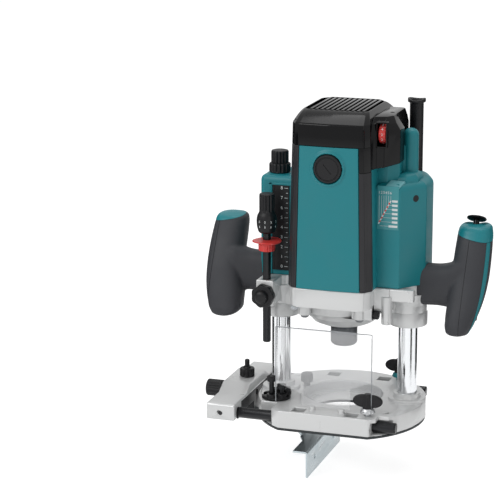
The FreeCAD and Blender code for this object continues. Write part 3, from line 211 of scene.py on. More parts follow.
def inset(corners, distance):
    """Plan moved inwards by a distance; each corner goes along its bisector."""
    corner = np.array(corners, float)
    side = np.roll(corner, -1, axis=0) - corner
    area = (corner[:, 0] * np.roll(corner[:, 1], -1) - np.roll(corner[:, 0], -1) * corner[:, 1]).sum()
    length = np.linalg.norm(side, axis=1)[:, None]
    normal = np.stack([-side[:, 1], side[:, 0]], axis=1) / length * np.sign(area)
    before = np.roll(normal, 1, axis=0)
    return corner + distance * (before + normal) / (1 + (before * normal).sum(1))[:, None]


def quarter_rounds(low, high, foot, top):
    """Rows of (inset, height) from low to high, with a quarter-round at each end."""
    turns = np.linspace(0, math.pi / 2, 5)
    rows = [(foot * (1 - math.sin(turn)), low + foot * (1 - math.cos(turn))) for turn in turns]
    return rows + [(top * (1 - math.cos(turn)), high - top * (1 - math.sin(turn))) for turn in turns]


def block(corners, low, high, corner=1.0, top=0.8, foot=0.8, along="Z", steps=5):
    """Plan carried from low to high, with rounded corners and a quarter-round along its top and foot."""
    rings = []
    for away, height in quarter_rounds(low, high, foot, top):
        plan = rounded(inset(corners, away), np.maximum(np.array(corner) - away, 0.15), steps)
        rings.append(level(plan, height))
    return moved(skin(rings), (0, 0, 0), along)


def slab(plan, low, high, edge, at=(0, 0, 0), along="Z"):
    """Smooth plan with many points, carried from low to high with quarter-round edges."""
    rows = quarter_rounds(low, high, edge, edge)
    return moved(skin([level(inset(plan, away), height) for away, height in rows]), at, along)


def brick(low, high, edge=0.6, along="Z", corner=None):
    """Block between two corners with all its edges rounded."""
    turn = ALONG[along]
    ends = np.array([low, high], float) @ turn
    a, b = ends.min(0), ends.max(0)
    plan = [(a[0], a[1]), (b[0], a[1]), (b[0], b[1]), (a[0], b[1])]
    return block(plan, a[2], b[2], edge if corner is None else corner, edge, edge, along=along, steps=4)


def link_new(name, data):
    """New object in the scene."""
    obj = bpy.data.objects.new(name, data)
    bpy.context.scene.collection.objects.link(obj)
    return obj


def mesh_of(name, part):
    """New mesh from a part in millimetres."""
    mesh = bpy.data.meshes.new(name)
    mesh.from_pydata((part[0] * MM).tolist(), [], part[1])
    return mesh


def part_of(mesh):
    """Points, in the mesh's own units, and faces of a helper mesh; the mesh goes."""
    points = np.zeros(len(mesh.vertices) * 3, np.float32)
    mesh.vertices.foreach_get("co", points)
    faces = [list(face.vertices) for face in mesh.polygons]
    bpy.data.meshes.remove(mesh)
    return points.reshape(-1, 3).astype(float), faces


def smooth_sharp(mesh, angle):
    """Smooth shading with sharp edges where faces meet at more than an angle in degrees."""
    mesh.shade_smooth()
    mesh.set_sharp_from_angle(angle=math.radians(angle))


def tidy(mesh, angle, flatten=None):
    """Merge doubles, turn faces outwards and set the shading."""
    work = bmesh.new()
    work.from_mesh(mesh)
    bmesh.ops.remove_doubles(work, verts=work.verts, dist=WELD)
    if flatten:
        bmesh.ops.dissolve_limit(work, angle_limit=math.radians(flatten), verts=work.verts, edges=work.edges)
    bmesh.ops.recalc_face_normals(work, faces=work.faces)
    work.to_mesh(mesh)
    work.free()
    smooth_sharp(mesh, angle)


def loose(part):
    """A helper object from a part, not kept."""
    mesh = mesh_of("helper", part)
    tidy(mesh, 180)
    return link_new("helper", mesh)


def hollowed(obj, cutters):
    """Mesh of a helper object with its modifiers done and closed parts cut out of it; the helpers go."""
    tools = [loose(cutter) for cutter in cutters]
    for tool in tools:
        hollow = obj.modifiers.new("hollow", "BOOLEAN")
        hollow.operation = "DIFFERENCE"
        hollow.object = tool
        hollow.solver = "EXACT"
    mesh = bpy.data.meshes.new_from_object(obj.evaluated_get(bpy.context.evaluated_depsgraph_get()))
    for helper in [obj] + tools:
        bpy.data.objects.remove(helper)
    return mesh


def carved(part, cutters):
    """A closed part with other closed parts cut out of it."""
    points, faces = part_of(hollowed(loose(part), cutters))
    return points / MM, faces


def add_bevel(obj, width, segments):
    """Rounded edges where faces meet at more than 30 degrees."""
    bevel = obj.modifiers.new("edges", "BEVEL")
    bevel.width = width * MM
    bevel.segments = segments
    bevel.limit_method = "ANGLE"
    bevel.angle_limit = math.radians(30)
    bevel.use_clamp_overlap = False
    bevel.harden_normals = True


def settle(obj, body, replaces=()):
    """Put a finished piece on its body and hide the frame nodes that it stands for."""
    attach(obj, body)
    if replaces:
        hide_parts(*replaces)
    return obj


def piece(name, part, finish, body, replaces=(), angle=32):
    """A new object from points in millimetres and faces."""
    mesh = mesh_of(name, part)
    tidy(mesh, angle)
    obj = link_new(name, mesh)
    mesh.materials.append(FINISHES[finish])
    return settle(obj, body, replaces)


def body_of(node):
    """The body that a frame node rides on."""
    return frame["nodes"][node]["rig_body"]


def from_frame(node, finish, bevel, segments=2, angle=32):
    """A copy of a frame node with merged faces and rounded edges, which stands for the node."""
    mesh = frame["nodes"][node].data.copy()
    mesh.materials.clear()
    tidy(mesh, angle, flatten=1.0)
    obj = link_new(f"{node}_body", mesh)
    mesh.materials.append(FINISHES[finish])
    smooth_sharp(mesh, 180)
    add_bevel(obj, bevel, segments)
    return settle(obj, body_of(node), [node])


def dress(node, finish):
    """Give a frame node its finish."""
    mesh = frame["nodes"][node].data
    mesh.materials.clear()
    mesh.materials.append(FINISHES[finish])


# ------------------------------------------------------------------ finishes

FINISHES = {}


def srgb(red, green, blue):
    """Linear colour from a screen colour of 0 to 255."""
    value = np.array([red, green, blue]) / 255
    return tuple(np.where(value > 0.04045, ((value + 0.055) / 1.055) ** 2.4, value / 12.92)) + (1.0,)


def empty_tree(owner):
    """Node tree of a material or world with nothing in it."""
    owner.use_nodes = True
    owner.node_tree.nodes.clear()
    return owner.node_tree


def shader_node(tree, kind, values=None, links=None):
    """A new node with values set on its inputs, and its inputs linked to other nodes' sockets."""
    made = tree.nodes.new(kind)
    for name, value in (values or {}).items():
        made.inputs[name].default_value = value
    for name, socket in (links or {}).items():
        tree.links.new(socket, made.inputs[name])
    return made


def finish(name, colour, roughness=0.4, metallic=0.0, vary=0.06, spread=0.08, patch=35.0, grain=900.0,
           bump=0.1, stretch=(1, 1, 1), coat=0.0, specular=0.5, alpha=1.0):
    """Plain-coloured finish: broad patches move the colour and the roughness a little, and a fine grain
    lifts the surface.  patch and grain are in waves per metre."""
    material = bpy.data.materials.new(name)
    tree = empty_tree(material)
    place = shader_node(tree, "ShaderNodeTexCoord").outputs["Object"]
    turn = shader_node(tree, "ShaderNodeMapping", {"Scale": stretch}, {"Vector": place}).outputs["Vector"]
    broad = shader_node(tree, "ShaderNodeTexNoise", {"Scale": patch, "Detail": 4},
                        {"Vector": turn}).outputs["Fac"]
    blend = tree.nodes.new("ShaderNodeMix")
    blend.data_type = "RGBA"
    base = np.array(colour[:3])
    blend.inputs["A"].default_value = tuple(base * (1 - vary)) + (1,)
    blend.inputs["B"].default_value = tuple(np.minimum(base * (1 + vary), 1)) + (1,)
    tree.links.new(broad, blend.inputs["Factor"])
    reach = {"From Min": 0.3, "From Max": 0.7,
             "To Min": max(roughness - spread, 0.02), "To Max": min(roughness + spread, 1.0)}
    rough = shader_node(tree, "ShaderNodeMapRange", reach, {"Value": broad})
    shader = shader_node(tree, "ShaderNodeBsdfPrincipled",
                         {"Metallic": metallic, "Specular IOR Level": specular, "Coat Weight": coat,
                          "Coat Roughness": 0.08, "Alpha": alpha},
                         {"Base Color": blend.outputs["Result"], "Roughness": rough.outputs["Result"]})
    if bump:
        fine = shader_node(tree, "ShaderNodeTexNoise", {"Scale": grain, "Detail": 2}, {"Vector": turn})
        lift = shader_node(tree, "ShaderNodeBump", {"Strength": bump, "Distance": 0.0002},
                           {"Height": fine.outputs["Fac"]})
        tree.links.new(lift.outputs["Normal"], shader.inputs["Normal"])
    shader_node(tree, "ShaderNodeOutputMaterial", links={"Surface": shader.outputs["BSDF"]})
    FINISHES[name] = material


class RouterColours(bpy.types.PropertyGroup):
    """Colours of the router's finishes."""
    teal: bpy.props.FloatVectorProperty(
        name="Housing", description="Moulded housing and handle caps", subtype="COLOR",
        default=srgb(20, 128, 137)[:3], size=3, min=0, max=1)
    rubber: bpy.props.FloatVectorProperty(
        name="Grips", description="Soft overmoulding and corner strips", subtype="COLOR",
        default=srgb(58, 59, 63)[:3], size=3, min=0, max=1)
    silver: bpy.props.FloatVectorProperty(
        name="Castings", description="Painted light-alloy castings", subtype="COLOR",
        default=srgb(218, 219, 219)[:3], size=3, min=0, max=1)
    black: bpy.props.FloatVectorProperty(
        name="Covers", description="Gloss and matt black mouldings", subtype="COLOR",
        default=srgb(14, 14, 16)[:3], size=3, min=0, max=1)
    red: bpy.props.FloatVectorProperty(
        name="Markers", description="Speed dial and depth pointer", subtype="COLOR",
        default=srgb(222, 62, 58)[:3], size=3, min=0, max=1)


class RouterSizes(bpy.types.PropertyGroup):
    """Sizes of the router's finer shapes."""
    casting_edge: bpy.props.FloatProperty(
        name="Casting edges", description="Rounding of the castings' edges", default=0.0008, min=0.0002,
        max=0.002, subtype="DISTANCE", unit="LENGTH")
    rib_count: bpy.props.IntProperty(
        name="Top ribs", description="Raised ribs on the top cover", default=11, min=5, max=15)
    grip_voxel: bpy.props.FloatProperty(
        name="Grip detail", description="Size of the grid that the handles are blended on", default=0.0011,
        min=0.0008, max=0.003, subtype="DISTANCE", unit="LENGTH")


def colour(name):
    """One of the scene's colours with full alpha."""
    return tuple(getattr(bpy.context.scene.router_colours, name)) + (1.0,)


class ROUTER_OT_finishes(bpy.types.Operator):
    """Make the finishes that the pieces share"""
    bl_idname = "router.finishes"
    bl_label = "Finishes"

    def execute(self, context):
        teal = colour("teal")
        rubber = colour("rubber")
        black = colour("black")
        silver = colour("silver")
        red = colour("red")
        finish("teal", teal, 0.42, vary=0.05, grain=2600, bump=0.18, specular=0.45)
        # Lighter teal: painted highlight for a lit facet of the right cover, not a second housing colour.
        finish("teal_light", srgb(118, 182, 188), 0.3, vary=0.05, bump=0.1)
        finish("rubber", rubber, 0.62, vary=0.08, grain=3200, bump=0.3, specular=0.35)
        finish("strip_black", srgb(42, 42, 45), 0.34, vary=0.1, grain=2200, bump=0.1, specular=0.3)
        finish("gloss_black", black, 0.11, vary=0.1, spread=0.03, grain=1500, bump=0.03, specular=0.2)
        finish("matt_black", tuple(np.array(black[:3]) * 1.8) + (1,), 0.45, vary=0.12, grain=2200, bump=0.2,
               specular=0.3)
        finish("black_steel", srgb(26, 27, 30), 0.3, metallic=0.4, vary=0.2, grain=1400, bump=0.1)
        finish("silver", silver, 0.34, metallic=0.25, vary=0.03, grain=1500, bump=0.22, coat=0.15)
        finish("machined", srgb(196, 198, 200), 0.28, metallic=0.8, vary=0.06, grain=700, bump=0.1,
               stretch=(1, 1, 12))
        finish("chrome", srgb(222, 224, 226), 0.13, metallic=1.0, vary=0.04, spread=0.05, grain=500,
               bump=0.04,
               stretch=(1, 1, 25))
        finish("nut_steel", srgb(92, 95, 98), 0.34, metallic=0.7, vary=0.08, grain=900, bump=0.1)
        finish("steel", srgb(120, 123, 126), 0.35, metallic=0.75, vary=0.08, grain=900, bump=0.1,
               stretch=(1, 1, 10))
        finish("rod_steel", srgb(92, 98, 104), 0.22, metallic=0.9, vary=0.1, grain=700, bump=0.06,
               stretch=(14, 1, 1))
        finish("zinc", srgb(188, 198, 202), 0.34, metallic=0.85, vary=0.14, patch=70, spread=0.12, grain=1800,
               bump=0.12)
        finish("red", red, 0.34, vary=0.06, grain=1800, bump=0.1)
        finish("white_print", srgb(232, 236, 236), 0.5, vary=0.02, bump=0.0)
        finish("chart_panel", srgb(66, 150, 156), 0.42, vary=0.04, grain=2600, bump=0.1)
        finish("red_print", srgb(226, 72, 60), 0.5, vary=0.03, bump=0.0)
        finish("clear", srgb(250, 251, 253), 0.1, vary=0.01, bump=0.0, alpha=0.2, specular=0.6)
        # Grey, half-clear finish that paints the highlights along the chip shield's edges.
        finish("clear_edge", srgb(168, 172, 176), 0.25, vary=0.03, bump=0.0, alpha=0.75)
        finish("lens", srgb(225, 230, 235), 0.1, vary=0.02, bump=0.0, alpha=0.5)
        finish("grey_plastic", srgb(128, 130, 132), 0.45, vary=0.06, grain=2000, bump=0.15)
        finish("laminate", srgb(22, 30, 34), 0.4, vary=0.15, grain=2400, bump=0.15)
        finish("copper", srgb(190, 120, 82), 0.3, metallic=1.0, vary=0.12, grain=900, bump=0.1)
        finish("brass", srgb(196, 168, 96), 0.3, metallic=1.0, vary=0.1, grain=900, bump=0.1)
        finish("bronze", srgb(168, 132, 88), 0.45, metallic=0.9, vary=0.1, grain=2600, bump=0.25)
        finish("carbon", srgb(34, 34, 36), 0.6, vary=0.2, grain=3000, bump=0.3)
        finish("iron", srgb(96, 96, 98), 0.5, metallic=0.7, vary=0.1, grain=1400, bump=0.3,
               stretch=(0.05, 0.05, 1))
        finish("board", srgb(34, 96, 58), 0.4, vary=0.1, patch=220, bump=0.1)
        return {"FINISHED"}


# ------------------------------------------------------------------ motor housing

HOUSING_LOW, HOUSING_HIGH = box_mm("motor_housing")
FLOOR_Z, ROOF_Z = HOUSING_LOW[2], HOUSING_HIGH[2]
SIDE_X, FRONT_Y, REAR_Y = HOUSING_HIGH[0], HOUSING_LOW[1], HOUSING_HIGH[1]
HALF = 31.0
CAP_LOW, CAP_HIGH = box_mm("top_cover")
BRUSH_Z = float(middle_of("brush_caps")[2])
STRIP = [(HALF, FRONT_Y), (HALF + 5, FRONT_Y + 1.5), (SIDE_X, -52), (SIDE_X, -48), (38, -48), (HALF, -57)]


def mirrored(corners):
    """The same plan on the other side, kept in the same turning sense."""
    return [(-across, back) for across, back in reversed(corners)]


def drafted(part):
    """The moulding widens downwards: x is scaled by 1.04 - 0.085 * (share of the housing's height)."""
    points, faces = part
    share = np.clip((points[:, 2] - FLOOR_Z) / (ROOF_Z - FLOOR_Z), 0, 1.25)
    points[:, 0] *= 1.04 - 0.085 * share
    return points, faces


def front_panel(sign, face, low, high, half):
    """Moulded panel with a raised ring round the brush cap.  Height out of the plane is a gentle bulge
    1.2 * (1 - (x / half)^2), less a rounding at both sides, plus a ring that rises between radii 18.6
    and 16 and falls to a flat floor inside 14.6."""
    across = np.concatenate([[-half, -half + 0.1, -half + 0.4], np.linspace(-half + 1, half - 1, 84),
                             [half - 0.4, half - 0.1, half]])
    up = np.linspace(low, high, 190)
    x, z = np.meshgrid(across, up)
    radius = np.hypot(x, z - BRUSH_Z)
    out = 1.2 * (1 - (x / half) ** 2) - 0.9 * (1 - np.sqrt(np.clip(1 - np.clip(
        (np.abs(x) - half + 0.9) / 0.9, 0, 1) ** 2, 0, 1)))
    out += 1.7 * (1 - smooth_step(radius, 16.0, 18.8)) - 3.2 * (1 - smooth_step(radius, 14.4, 14.9))
    front = np.stack([x, face + sign * out, z], axis=-1)
    back = front.copy()
    back[..., 1] = face - sign * 4.0
    rows, columns = x.shape
    index = np.arange(rows * columns).reshape(rows, columns)
    quads = np.stack([index[:-1, :-1], index[:-1, 1:], index[1:, 1:], index[1:, :-1]], -1).reshape(-1, 4)
    rim = np.concatenate([index[0], index[1:, -1], index[-1, -2::-1], index[-2:0:-1, 0]])
    ahead = np.roll(rim, -1)
    far = rows * columns
    sides = np.stack([rim, rim + far, ahead + far, ahead], -1)
    points = np.concatenate([front.reshape(-1, 3), back.reshape(-1, 3)])
    return points, quads.tolist() + (quads[:, ::-1] + far).tolist() + sides.tolist()


class ROUTER_OT_housing(bpy.types.Operator):
    """Teal motor housing with its front and rear panels and the soft strips down its front corners"""
    bl_idname = "router.housing"
    bl_label = "Motor housing"

    def execute(self, context):
        half = [(HALF, FRONT_Y + 3.6), (38, -48), (SIDE_X, -48), (SIDE_X, REAR_Y - 12),
                (SIDE_X - 12, REAR_Y - 1)]
        shell = block(half + mirrored(half), FLOOR_Z + 0.3, ROOF_Z - 0.2,
                      corner=[0.5, 0.5, 1.5, 7, 5, 5, 7, 1.5, 0.5, 0.5],
                      top=0.3, foot=0.5, steps=8)
        piece("housing_shell", drafted(shell), "teal", "motor_unit", ["motor_housing"])
        panel = front_panel(-1, FRONT_Y, FLOOR_Z + 0.3, ROOF_Z - 0.2, HALF - 0.25)
        piece("front_panel", drafted(panel), "teal", "motor_unit")
        panel = front_panel(1, REAR_Y - 1.4, FLOOR_Z + 0.3, ROOF_Z - 0.2, SIDE_X - 13)
        piece("rear_panel", drafted(panel), "teal", "motor_unit")
        top = box_mm("control_cover")[0][2]
        strips = [block(STRIP, FLOOR_Z + 0.3, top - 0.2, corner=0.7, top=0.4, foot=0.5),
                  block(mirrored(STRIP), FLOOR_Z + 0.3, ROOF_Z - 0.2, corner=0.7, top=0.4, foot=0.5)]
        ridge = [(HALF + 5.3, FRONT_Y + 1.2), (HALF + 6.5, FRONT_Y + 3.1), (HALF + 6.2, FRONT_Y + 3.4),
                 (HALF + 5, FRONT_Y + 1.5)]
        strips += [block(ridge, FLOOR_Z + 0.6, top - 0.5, corner=0.2, top=0.1, foot=0.1),
                   block(mirrored(ridge), FLOOR_Z + 0.6, ROOF_Z - 0.5, corner=0.2, top=0.1, foot=0.1)]
        piece("front_strips", drafted(join(*strips)), "strip_black", "motor_unit",
              ["corner_strips"])
        return {"FINISHED"}


class ROUTER_OT_top_cover(bpy.types.Operator):
    """Gloss cover with a band, a scooped front edge, raised ribs and a leg down the right front corner"""
    bl_idname = "router.top_cover"
    bl_label = "Top cover"

    def execute(self, context):
        half = [(0, FRONT_Y - 1.3), (HALF, FRONT_Y), (HALF + 5, FRONT_Y + 1.5), (SIDE_X, -52),
                (SIDE_X, REAR_Y - 12), (SIDE_X - 12, REAR_Y)]
        full = half + mirrored(half[1:])
        crown = [(0, -39), (29, -39), (33, -37.5), (35, -34), (35, 26), (26, 36)]
        crown = crown + mirrored(crown[1:])
        sharp = [30, 1.2, 1.2, 2, 7, 6, 6, 7, 2, 1.2, 1.2]
        crease = 306.2
        rise = CAP_HIGH[2] - 0.7 - crease
        rings = []
        for height, away in ((ROOF_Z + 0.15, 0.3), (ROOF_Z + 0.5, 0.0), (crease - 0.8, 0.0),
                             (crease - 0.2, 0.25)):
            rings.append((rounded(inset(full, away), sharp, 7), height))
        for share in np.linspace(0.02, 1, 14):
            mix = (1 - share) * np.array(full) + share * np.array(crown)
            rings.append((rounded(mix, sharp, 7),
                          crease + rise * (0.45 * share + 0.55 * math.sin(share * math.pi / 2))))
        rings.append((rounded(inset(crown, 0.8), sharp, 7), crease + rise))
        rings.append((rounded(inset(crown, 1.2), sharp, 7), CAP_HIGH[2] - 4.6))
        rings = [level(plan, height) for plan, height in rings]
        leg = block(STRIP, box_mm("control_cover")[0][2], ROOF_Z + 0.3, corner=0.8, top=0.2, foot=0.4)
        seams = []
        for x in (-31.5, 36.6):
            seams.append(brick((x - 0.35, FRONT_Y - 1.25 + 0.0011 * x * x, ROOF_Z + 0.6),
                               (x + 0.35, FRONT_Y + 3, 303.6), 0.12))
        piece("top_shell", drafted(join(skin(rings), leg, *seams)), "gloss_black", "motor_unit",
              ["top_cover"], angle=40)
        count = context.scene.router_sizes.rib_count
        pitch = 5.2
        ribs = []
        for step in range(count):
            middle = 1.5 + (step - (count - 1) / 2) * pitch
            ribs.append(brick((middle - 1.35, -38.6, ROOF_Z + 26), (middle + 1.35, 30, CAP_HIGH[2]), 0.6))
        piece("top_ribs", join(*ribs), "gloss_black", "motor_unit")
        slots = [brick((step * pitch + 3.0, -37, ROOF_Z + 26), ((step + 1) * pitch, 28, CAP_HIGH[2] - 4.3),
                       0.2)
                 for step in range(-5, 5)]
        slots.append(turned([(0, 300), (2.6, 300), (2.6, 308.9), (2.2, 309.2), (0, 309.2)], (-34.0, -51, 0),
                            "Z", 32))
        piece("top_slots", join(*slots), "matt_black", "motor_unit")
        return {"FINISHED"}


class ROUTER_OT_brush_caps(bpy.types.Operator):
    """Slotted screw caps over the carbon brushes"""
    bl_idname = "router.brush_caps"
    bl_label = "Brush caps"

    def execute(self, context):
        parts = []
        for along, face in (("-Y", -FRONT_Y), ("Y", REAR_Y)):
            top = face + 4
            profile = [(0, face - 3), (13.75, face - 3), (13.75, top - 0.8), (13.3, top - 0.15), (12.7, top),
                       (11.9, top - 0.1), (11.5, top - 0.7), (10.9, top - 0.7), (10.5, top - 0.25),
                       (6, top - 0.2)]
            at = (0, 0, BRUSH_Z)
            disc = turned(profile, at, along, 96)
            # The slot is the gap between two half-round lands that stand on a lower floor.
            angle = np.linspace(0, math.pi, 25)
            arc = np.stack([np.maximum(5.99 * np.sin(angle), 0.55), -5.99 * np.cos(angle)], 1)
            for land in (mirrored(arc), arc):
                rings = np.array([level(land, top - 1.2), level(land, top - 0.2)])
                parts.append(moved(skin(rings @ spun(40 if along == "-Y" else -40)), at, along))
            floor = turned([(0, top - 1.4), (6.1, top - 1.4), (6.1, top - 0.8), (6, top - 0.75),
                            (0, top - 0.75)],
                           at, along, 48)
            parts += [disc, floor]
        piece("brush_screws", join(*parts), "matt_black", "motor_unit", ["brush_caps"])
        return {"FINISHED"}


class ROUTER_OT_control_hood(bpy.types.Operator):
    """Gloss hood over the speed control, and its numbered thumb wheel"""
    bl_idname = "router.control_hood"
    bl_label = "Speed control"

    def execute(self, context):
        plans = [[(38, -50), (43, -43.8), (50, -42.8), (62, -27), (62, -10), (57, -8), (57, 28), (38, 28)],
                 [(38, -46), (44, -41), (50, -40), (58, -27), (58, -12), (56, -9), (56, 26), (38, 26)],
                 [(38, -37), (44, -35), (50, -33), (55, -24), (55, -14), (54.5, -10), (54.5, 24), (38, 24)]]
        rings = []
        for which, height, away in ((0, 261.1, 0.5), (0, 261.6, 0.1), (0, 298.6, 0), (0, 299.4, 0.2),
                                    (1, 305.6, 0),
                                    (1, 306.2, 0.3), (2, 311.4, 0), (2, 312.1, 0.5), (2, 312.4, 1.4)):
            rings.append(level(rounded(inset(plans[which], away), [0.5, 1.5, 2, 2, 2, 1.5, 3, 0.5]), height))
        window = brick((43.4, -60, 285), (52.2, -20, 308), 0.4)
        bezel = brick((42.0, -44.6, 283.6), (53.6, -38, 309.2), 0.9)
        opening = brick((43.4, -60, 285), (52.2, -20, 307.8), 0.3)
        screw = turned([(0, 308), (2.2, 308), (2.2, 320), (0, 320)], (49, -8, 0), "Z", 32)
        rings = np.array(rings)
        low = rings[..., 2] < 262
        rings[..., 2] += low * (1.2 + 0.17 * (rings[..., 0] - 38))
        hood = carved(skin(rings), [window, screw])
        frame_ring = carved(bezel, [opening])
        piece("control_hood", join(hood, frame_ring), "gloss_black", "motor_unit",
              ["control_cover"],
              angle=30)
        low, high = box_mm("speed_dial")
        middle = (low + high) / 2
        radius = (high[2] - low[2]) / 2
        half = (high[0] - low[0]) / 2
        profile = [(2.1, -half), (radius - 1.2, -half), (radius - 0.3, -half + 0.7), (radius, -half + 1.4),
                   (radius, half - 1.4), (radius - 0.3, half - 0.7), (radius - 1.2, half), (2.1, half)]
        wheel = turned(profile + profile[:1], middle, "X", 144, flutes=(24, 0.55, -half + 0.5, half - 0.5, 2))
        piece("dial_wheel", wheel, "red", "dial", ["speed_dial"])
        digits = []
        for step in range(8):
            angle = math.radians(-56 + step * 28)
            points, faces = number(str(step % 6 + 1), 3.6, 0.25)
            out = np.array([0, -math.cos(angle), math.sin(angle)])
            up = [0, math.sin(angle), math.cos(angle)]
            digits.append((points @ np.array([[1, 0, 0], up, out]) + middle + out * (radius - 0.02), faces))
        piece("dial_figures", join(*digits), "white_print", "dial")
        return {"FINISHED"}


def number(text, size, thick):
    """Raised figures as points and faces, centred on the origin, facing +Z."""
    curve = bpy.data.curves.new("figures", "FONT")
    curve.body = text
    curve.size = size
    curve.align_x = "CENTER"
    curve.align_y = "CENTER"
    curve.extrude = thick / 2
    curve.resolution_u = 2
    obj = bpy.data.objects.new("figures", curve)
    mesh = bpy.data.meshes.new_from_object(obj)
    bpy.data.objects.remove(obj)
    bpy.data.curves.remove(curve)
    return part_of(mesh)


# ------------------------------------------------------------------ side covers

INNER_FOOT = 242.5  # solid details start here, above the posts and springs at full plunge


def post_bore(x, top):
    """Room inside a cover for the post and spring that rise into it."""
    return turned([(0, 130), (13, 130), (13, top), (0, top)], (x, 0, 0), "Z", 48)


class ROUTER_OT_right_cover(bpy.types.Operator):
    """Teal cover over the right post with its raised column, speed chart and cord tube"""
    bl_idname = "router.right_cover"
    bl_label = "Right cover"

    def execute(self, context):
        high = box_mm("right_cover")[1]
        top = box_mm("cord_guard")[0][2]
        x = high[0] - 1.4
        plan = [(39, -35), (x - 20.1, -35), (x, -9), (x, 20), (x - 8, 38), (x - 16, 48), (39, 48)]
        body = block(plan, FLOOR_Z + 0.3, top, corner=[0.3, 1.6, 4, 6, 8, 6, 0.3], top=8, foot=0.6, steps=9)
        step = [(39, -27), (50, -27), (60, -20), (60, -12), (53, -9), (53, 28), (39, 28)]
        upper = block(step, INNER_FOOT, 266, corner=[0.2, 1.2, 1.2, 1.5, 3, 3, 0.2], top=0.2, foot=0.5)
        slope = block([(56, -22), (68, -22), (77, -12), (77, 10), (56, 10)], INNER_FOOT, 255, corner=3, top=8,
                      foot=0.5)
        column = high[2]
        dome = [(7.5 * math.cos(a), column - 6.5 + 6.4 * math.sin(a)) for a in np.linspace(0.15, 1.5, 9)]
        post = turned([(0, INNER_FOOT), (7.5, INNER_FOOT), (7.5, column - 6.5)] + dome + [(0, column - 0.05)],
                      (POST_X, 0, 0), "Z", 48)
        web = brick((39, -6.5, INNER_FOOT), (POST_X, 6.5, 281), 2.5)
        body = carved(body, [post_bore(POST_X, 240.5)])
        piece("right_shell", join(body, upper, slope, post, web), "teal", "motor_unit",
              ["right_cover"], angle=40)
        points, faces = turned([(0, -1.5), (3.7, -1.5), (3.4, 0.3), (0, 0.3)], (0, 0, 0), "-Y", 32)
        screw = (points @ spun(50.4) + (76.4, -19.4, 231.2), faces)
        piece("cover_screw_well", screw, "matt_black", "motor_unit")
        # Painted highlight: a thin quad of lighter teal stands for the lit sloped facet on the cover's
        # shoulder.
        quad = np.array([(49.5, -35.3, 244.4), (63.6, -34.6, 243.8), (67.0, -25, 248.4), (53, -25, 249.2)])
        inner = quad + (0, 3, -4)
        piece("cover_facet", skin([inner, quad]), "teal_light", "motor_unit")
        chart(context)
        base = top - 0.5
        rim = float(round(box_mm("cord_guard")[1][2], 3))
        x, y = (float(value) for value in np.round(middle_of("cord_guard")[:2], 3))
        profile = [(5.4, base + 1), (6.9, base), (6.9, rim - 5.4), (7.3, rim - 4.6),
                   (8.8, rim - 4.0), (9.0, rim - 3.2), (8.9, rim - 1.4), (8.2, rim - 0.9), (7.0, rim - 1.2),
                   (5.9, rim - 3), (5.4, rim - 6), (5.4, base + 1)]
        tube = turned(profile, (x, y, 0), "Z", 96)
        # The rim is a saddle: it stands 0.85 high at the sides and 0.75 low towards the front and the back.
        points = tube[0]
        angle = np.arctan2(points[:, 1] - y, points[:, 0] - x)
        lift = smooth_step(points[:, 2], rim - 4.4, rim - 3)
        points[:, 2] += lift * (0.85 - 1.6 * np.sin(angle) ** 2)
        piece("cord_tube", tube, "matt_black", "motor_unit", ["cord_guard"], angle=50)
        return {"FINISHED"}


def chart(context):
    """Printed speed chart: a pale panel, six figures over thin lines, a dashed slope and a row of bars.
    It is laid out on the flat front facet of the right cover."""
    face = -35.4
    left, right, foot, head = 42.2, 63.4, 202.0, 245.0
    panel = brick((left, face, foot), (right, face + 0.8, head), 0.1)
    piece("chart_panel", panel, "chart_panel", "motor_unit")
    white, red = [], []
    for step in range(6):
        x = left + 1.9 + step * 2.3
        part = number(str(step + 1), 3.9, 0.1)
        white.append(moved(part, (x, face - 0.2, head - 6.6), "-Y"))
        white.append(brick((x - 0.13, face - 0.24, foot + 7.5 + step * 3.6), (x + 0.16, face, head - 9.4),
                           0.03))
    for step in range(7):
        z = head - 14.6 - step * 4.15
        long = 5.6 if step < 6 else 8.8
        white.append(brick((right - 0.9 - long, face - 0.24, z - 1.1), (right - 0.9, face, z + 1.1), 0.05))
        start = left + 2.6 + (6 - step) * 1.75
        white.append(brick((start, face - 0.2, z - 0.12), (right - 1.5, face, z + 0.12), 0.03))
    dashes = 13
    start = np.array([left + 1.4, foot + 5.4])
    end = np.array([left + 13.4, head - 14.2])
    for step in range(dashes):
        a = start + (end - start) * (step / dashes)
        b = start + (end - start) * ((step + 0.96) / dashes)
        along = (b - a) / np.linalg.norm(b - a)
        side = np.array([-along[1], along[0]]) * 0.62
        dash = block([a - side, b - side, b + side, a + side][::-1], 0, 0.3, corner=0.05, top=0.04, foot=0.04)
        part = moved(dash, (0, face - 0.02, 0), "-Y")
        (red if step % 2 else white).append(part)
    piece("chart_print", join(*white), "white_print", "motor_unit")
    piece("chart_dashes", join(*red), "red_print", "motor_unit")


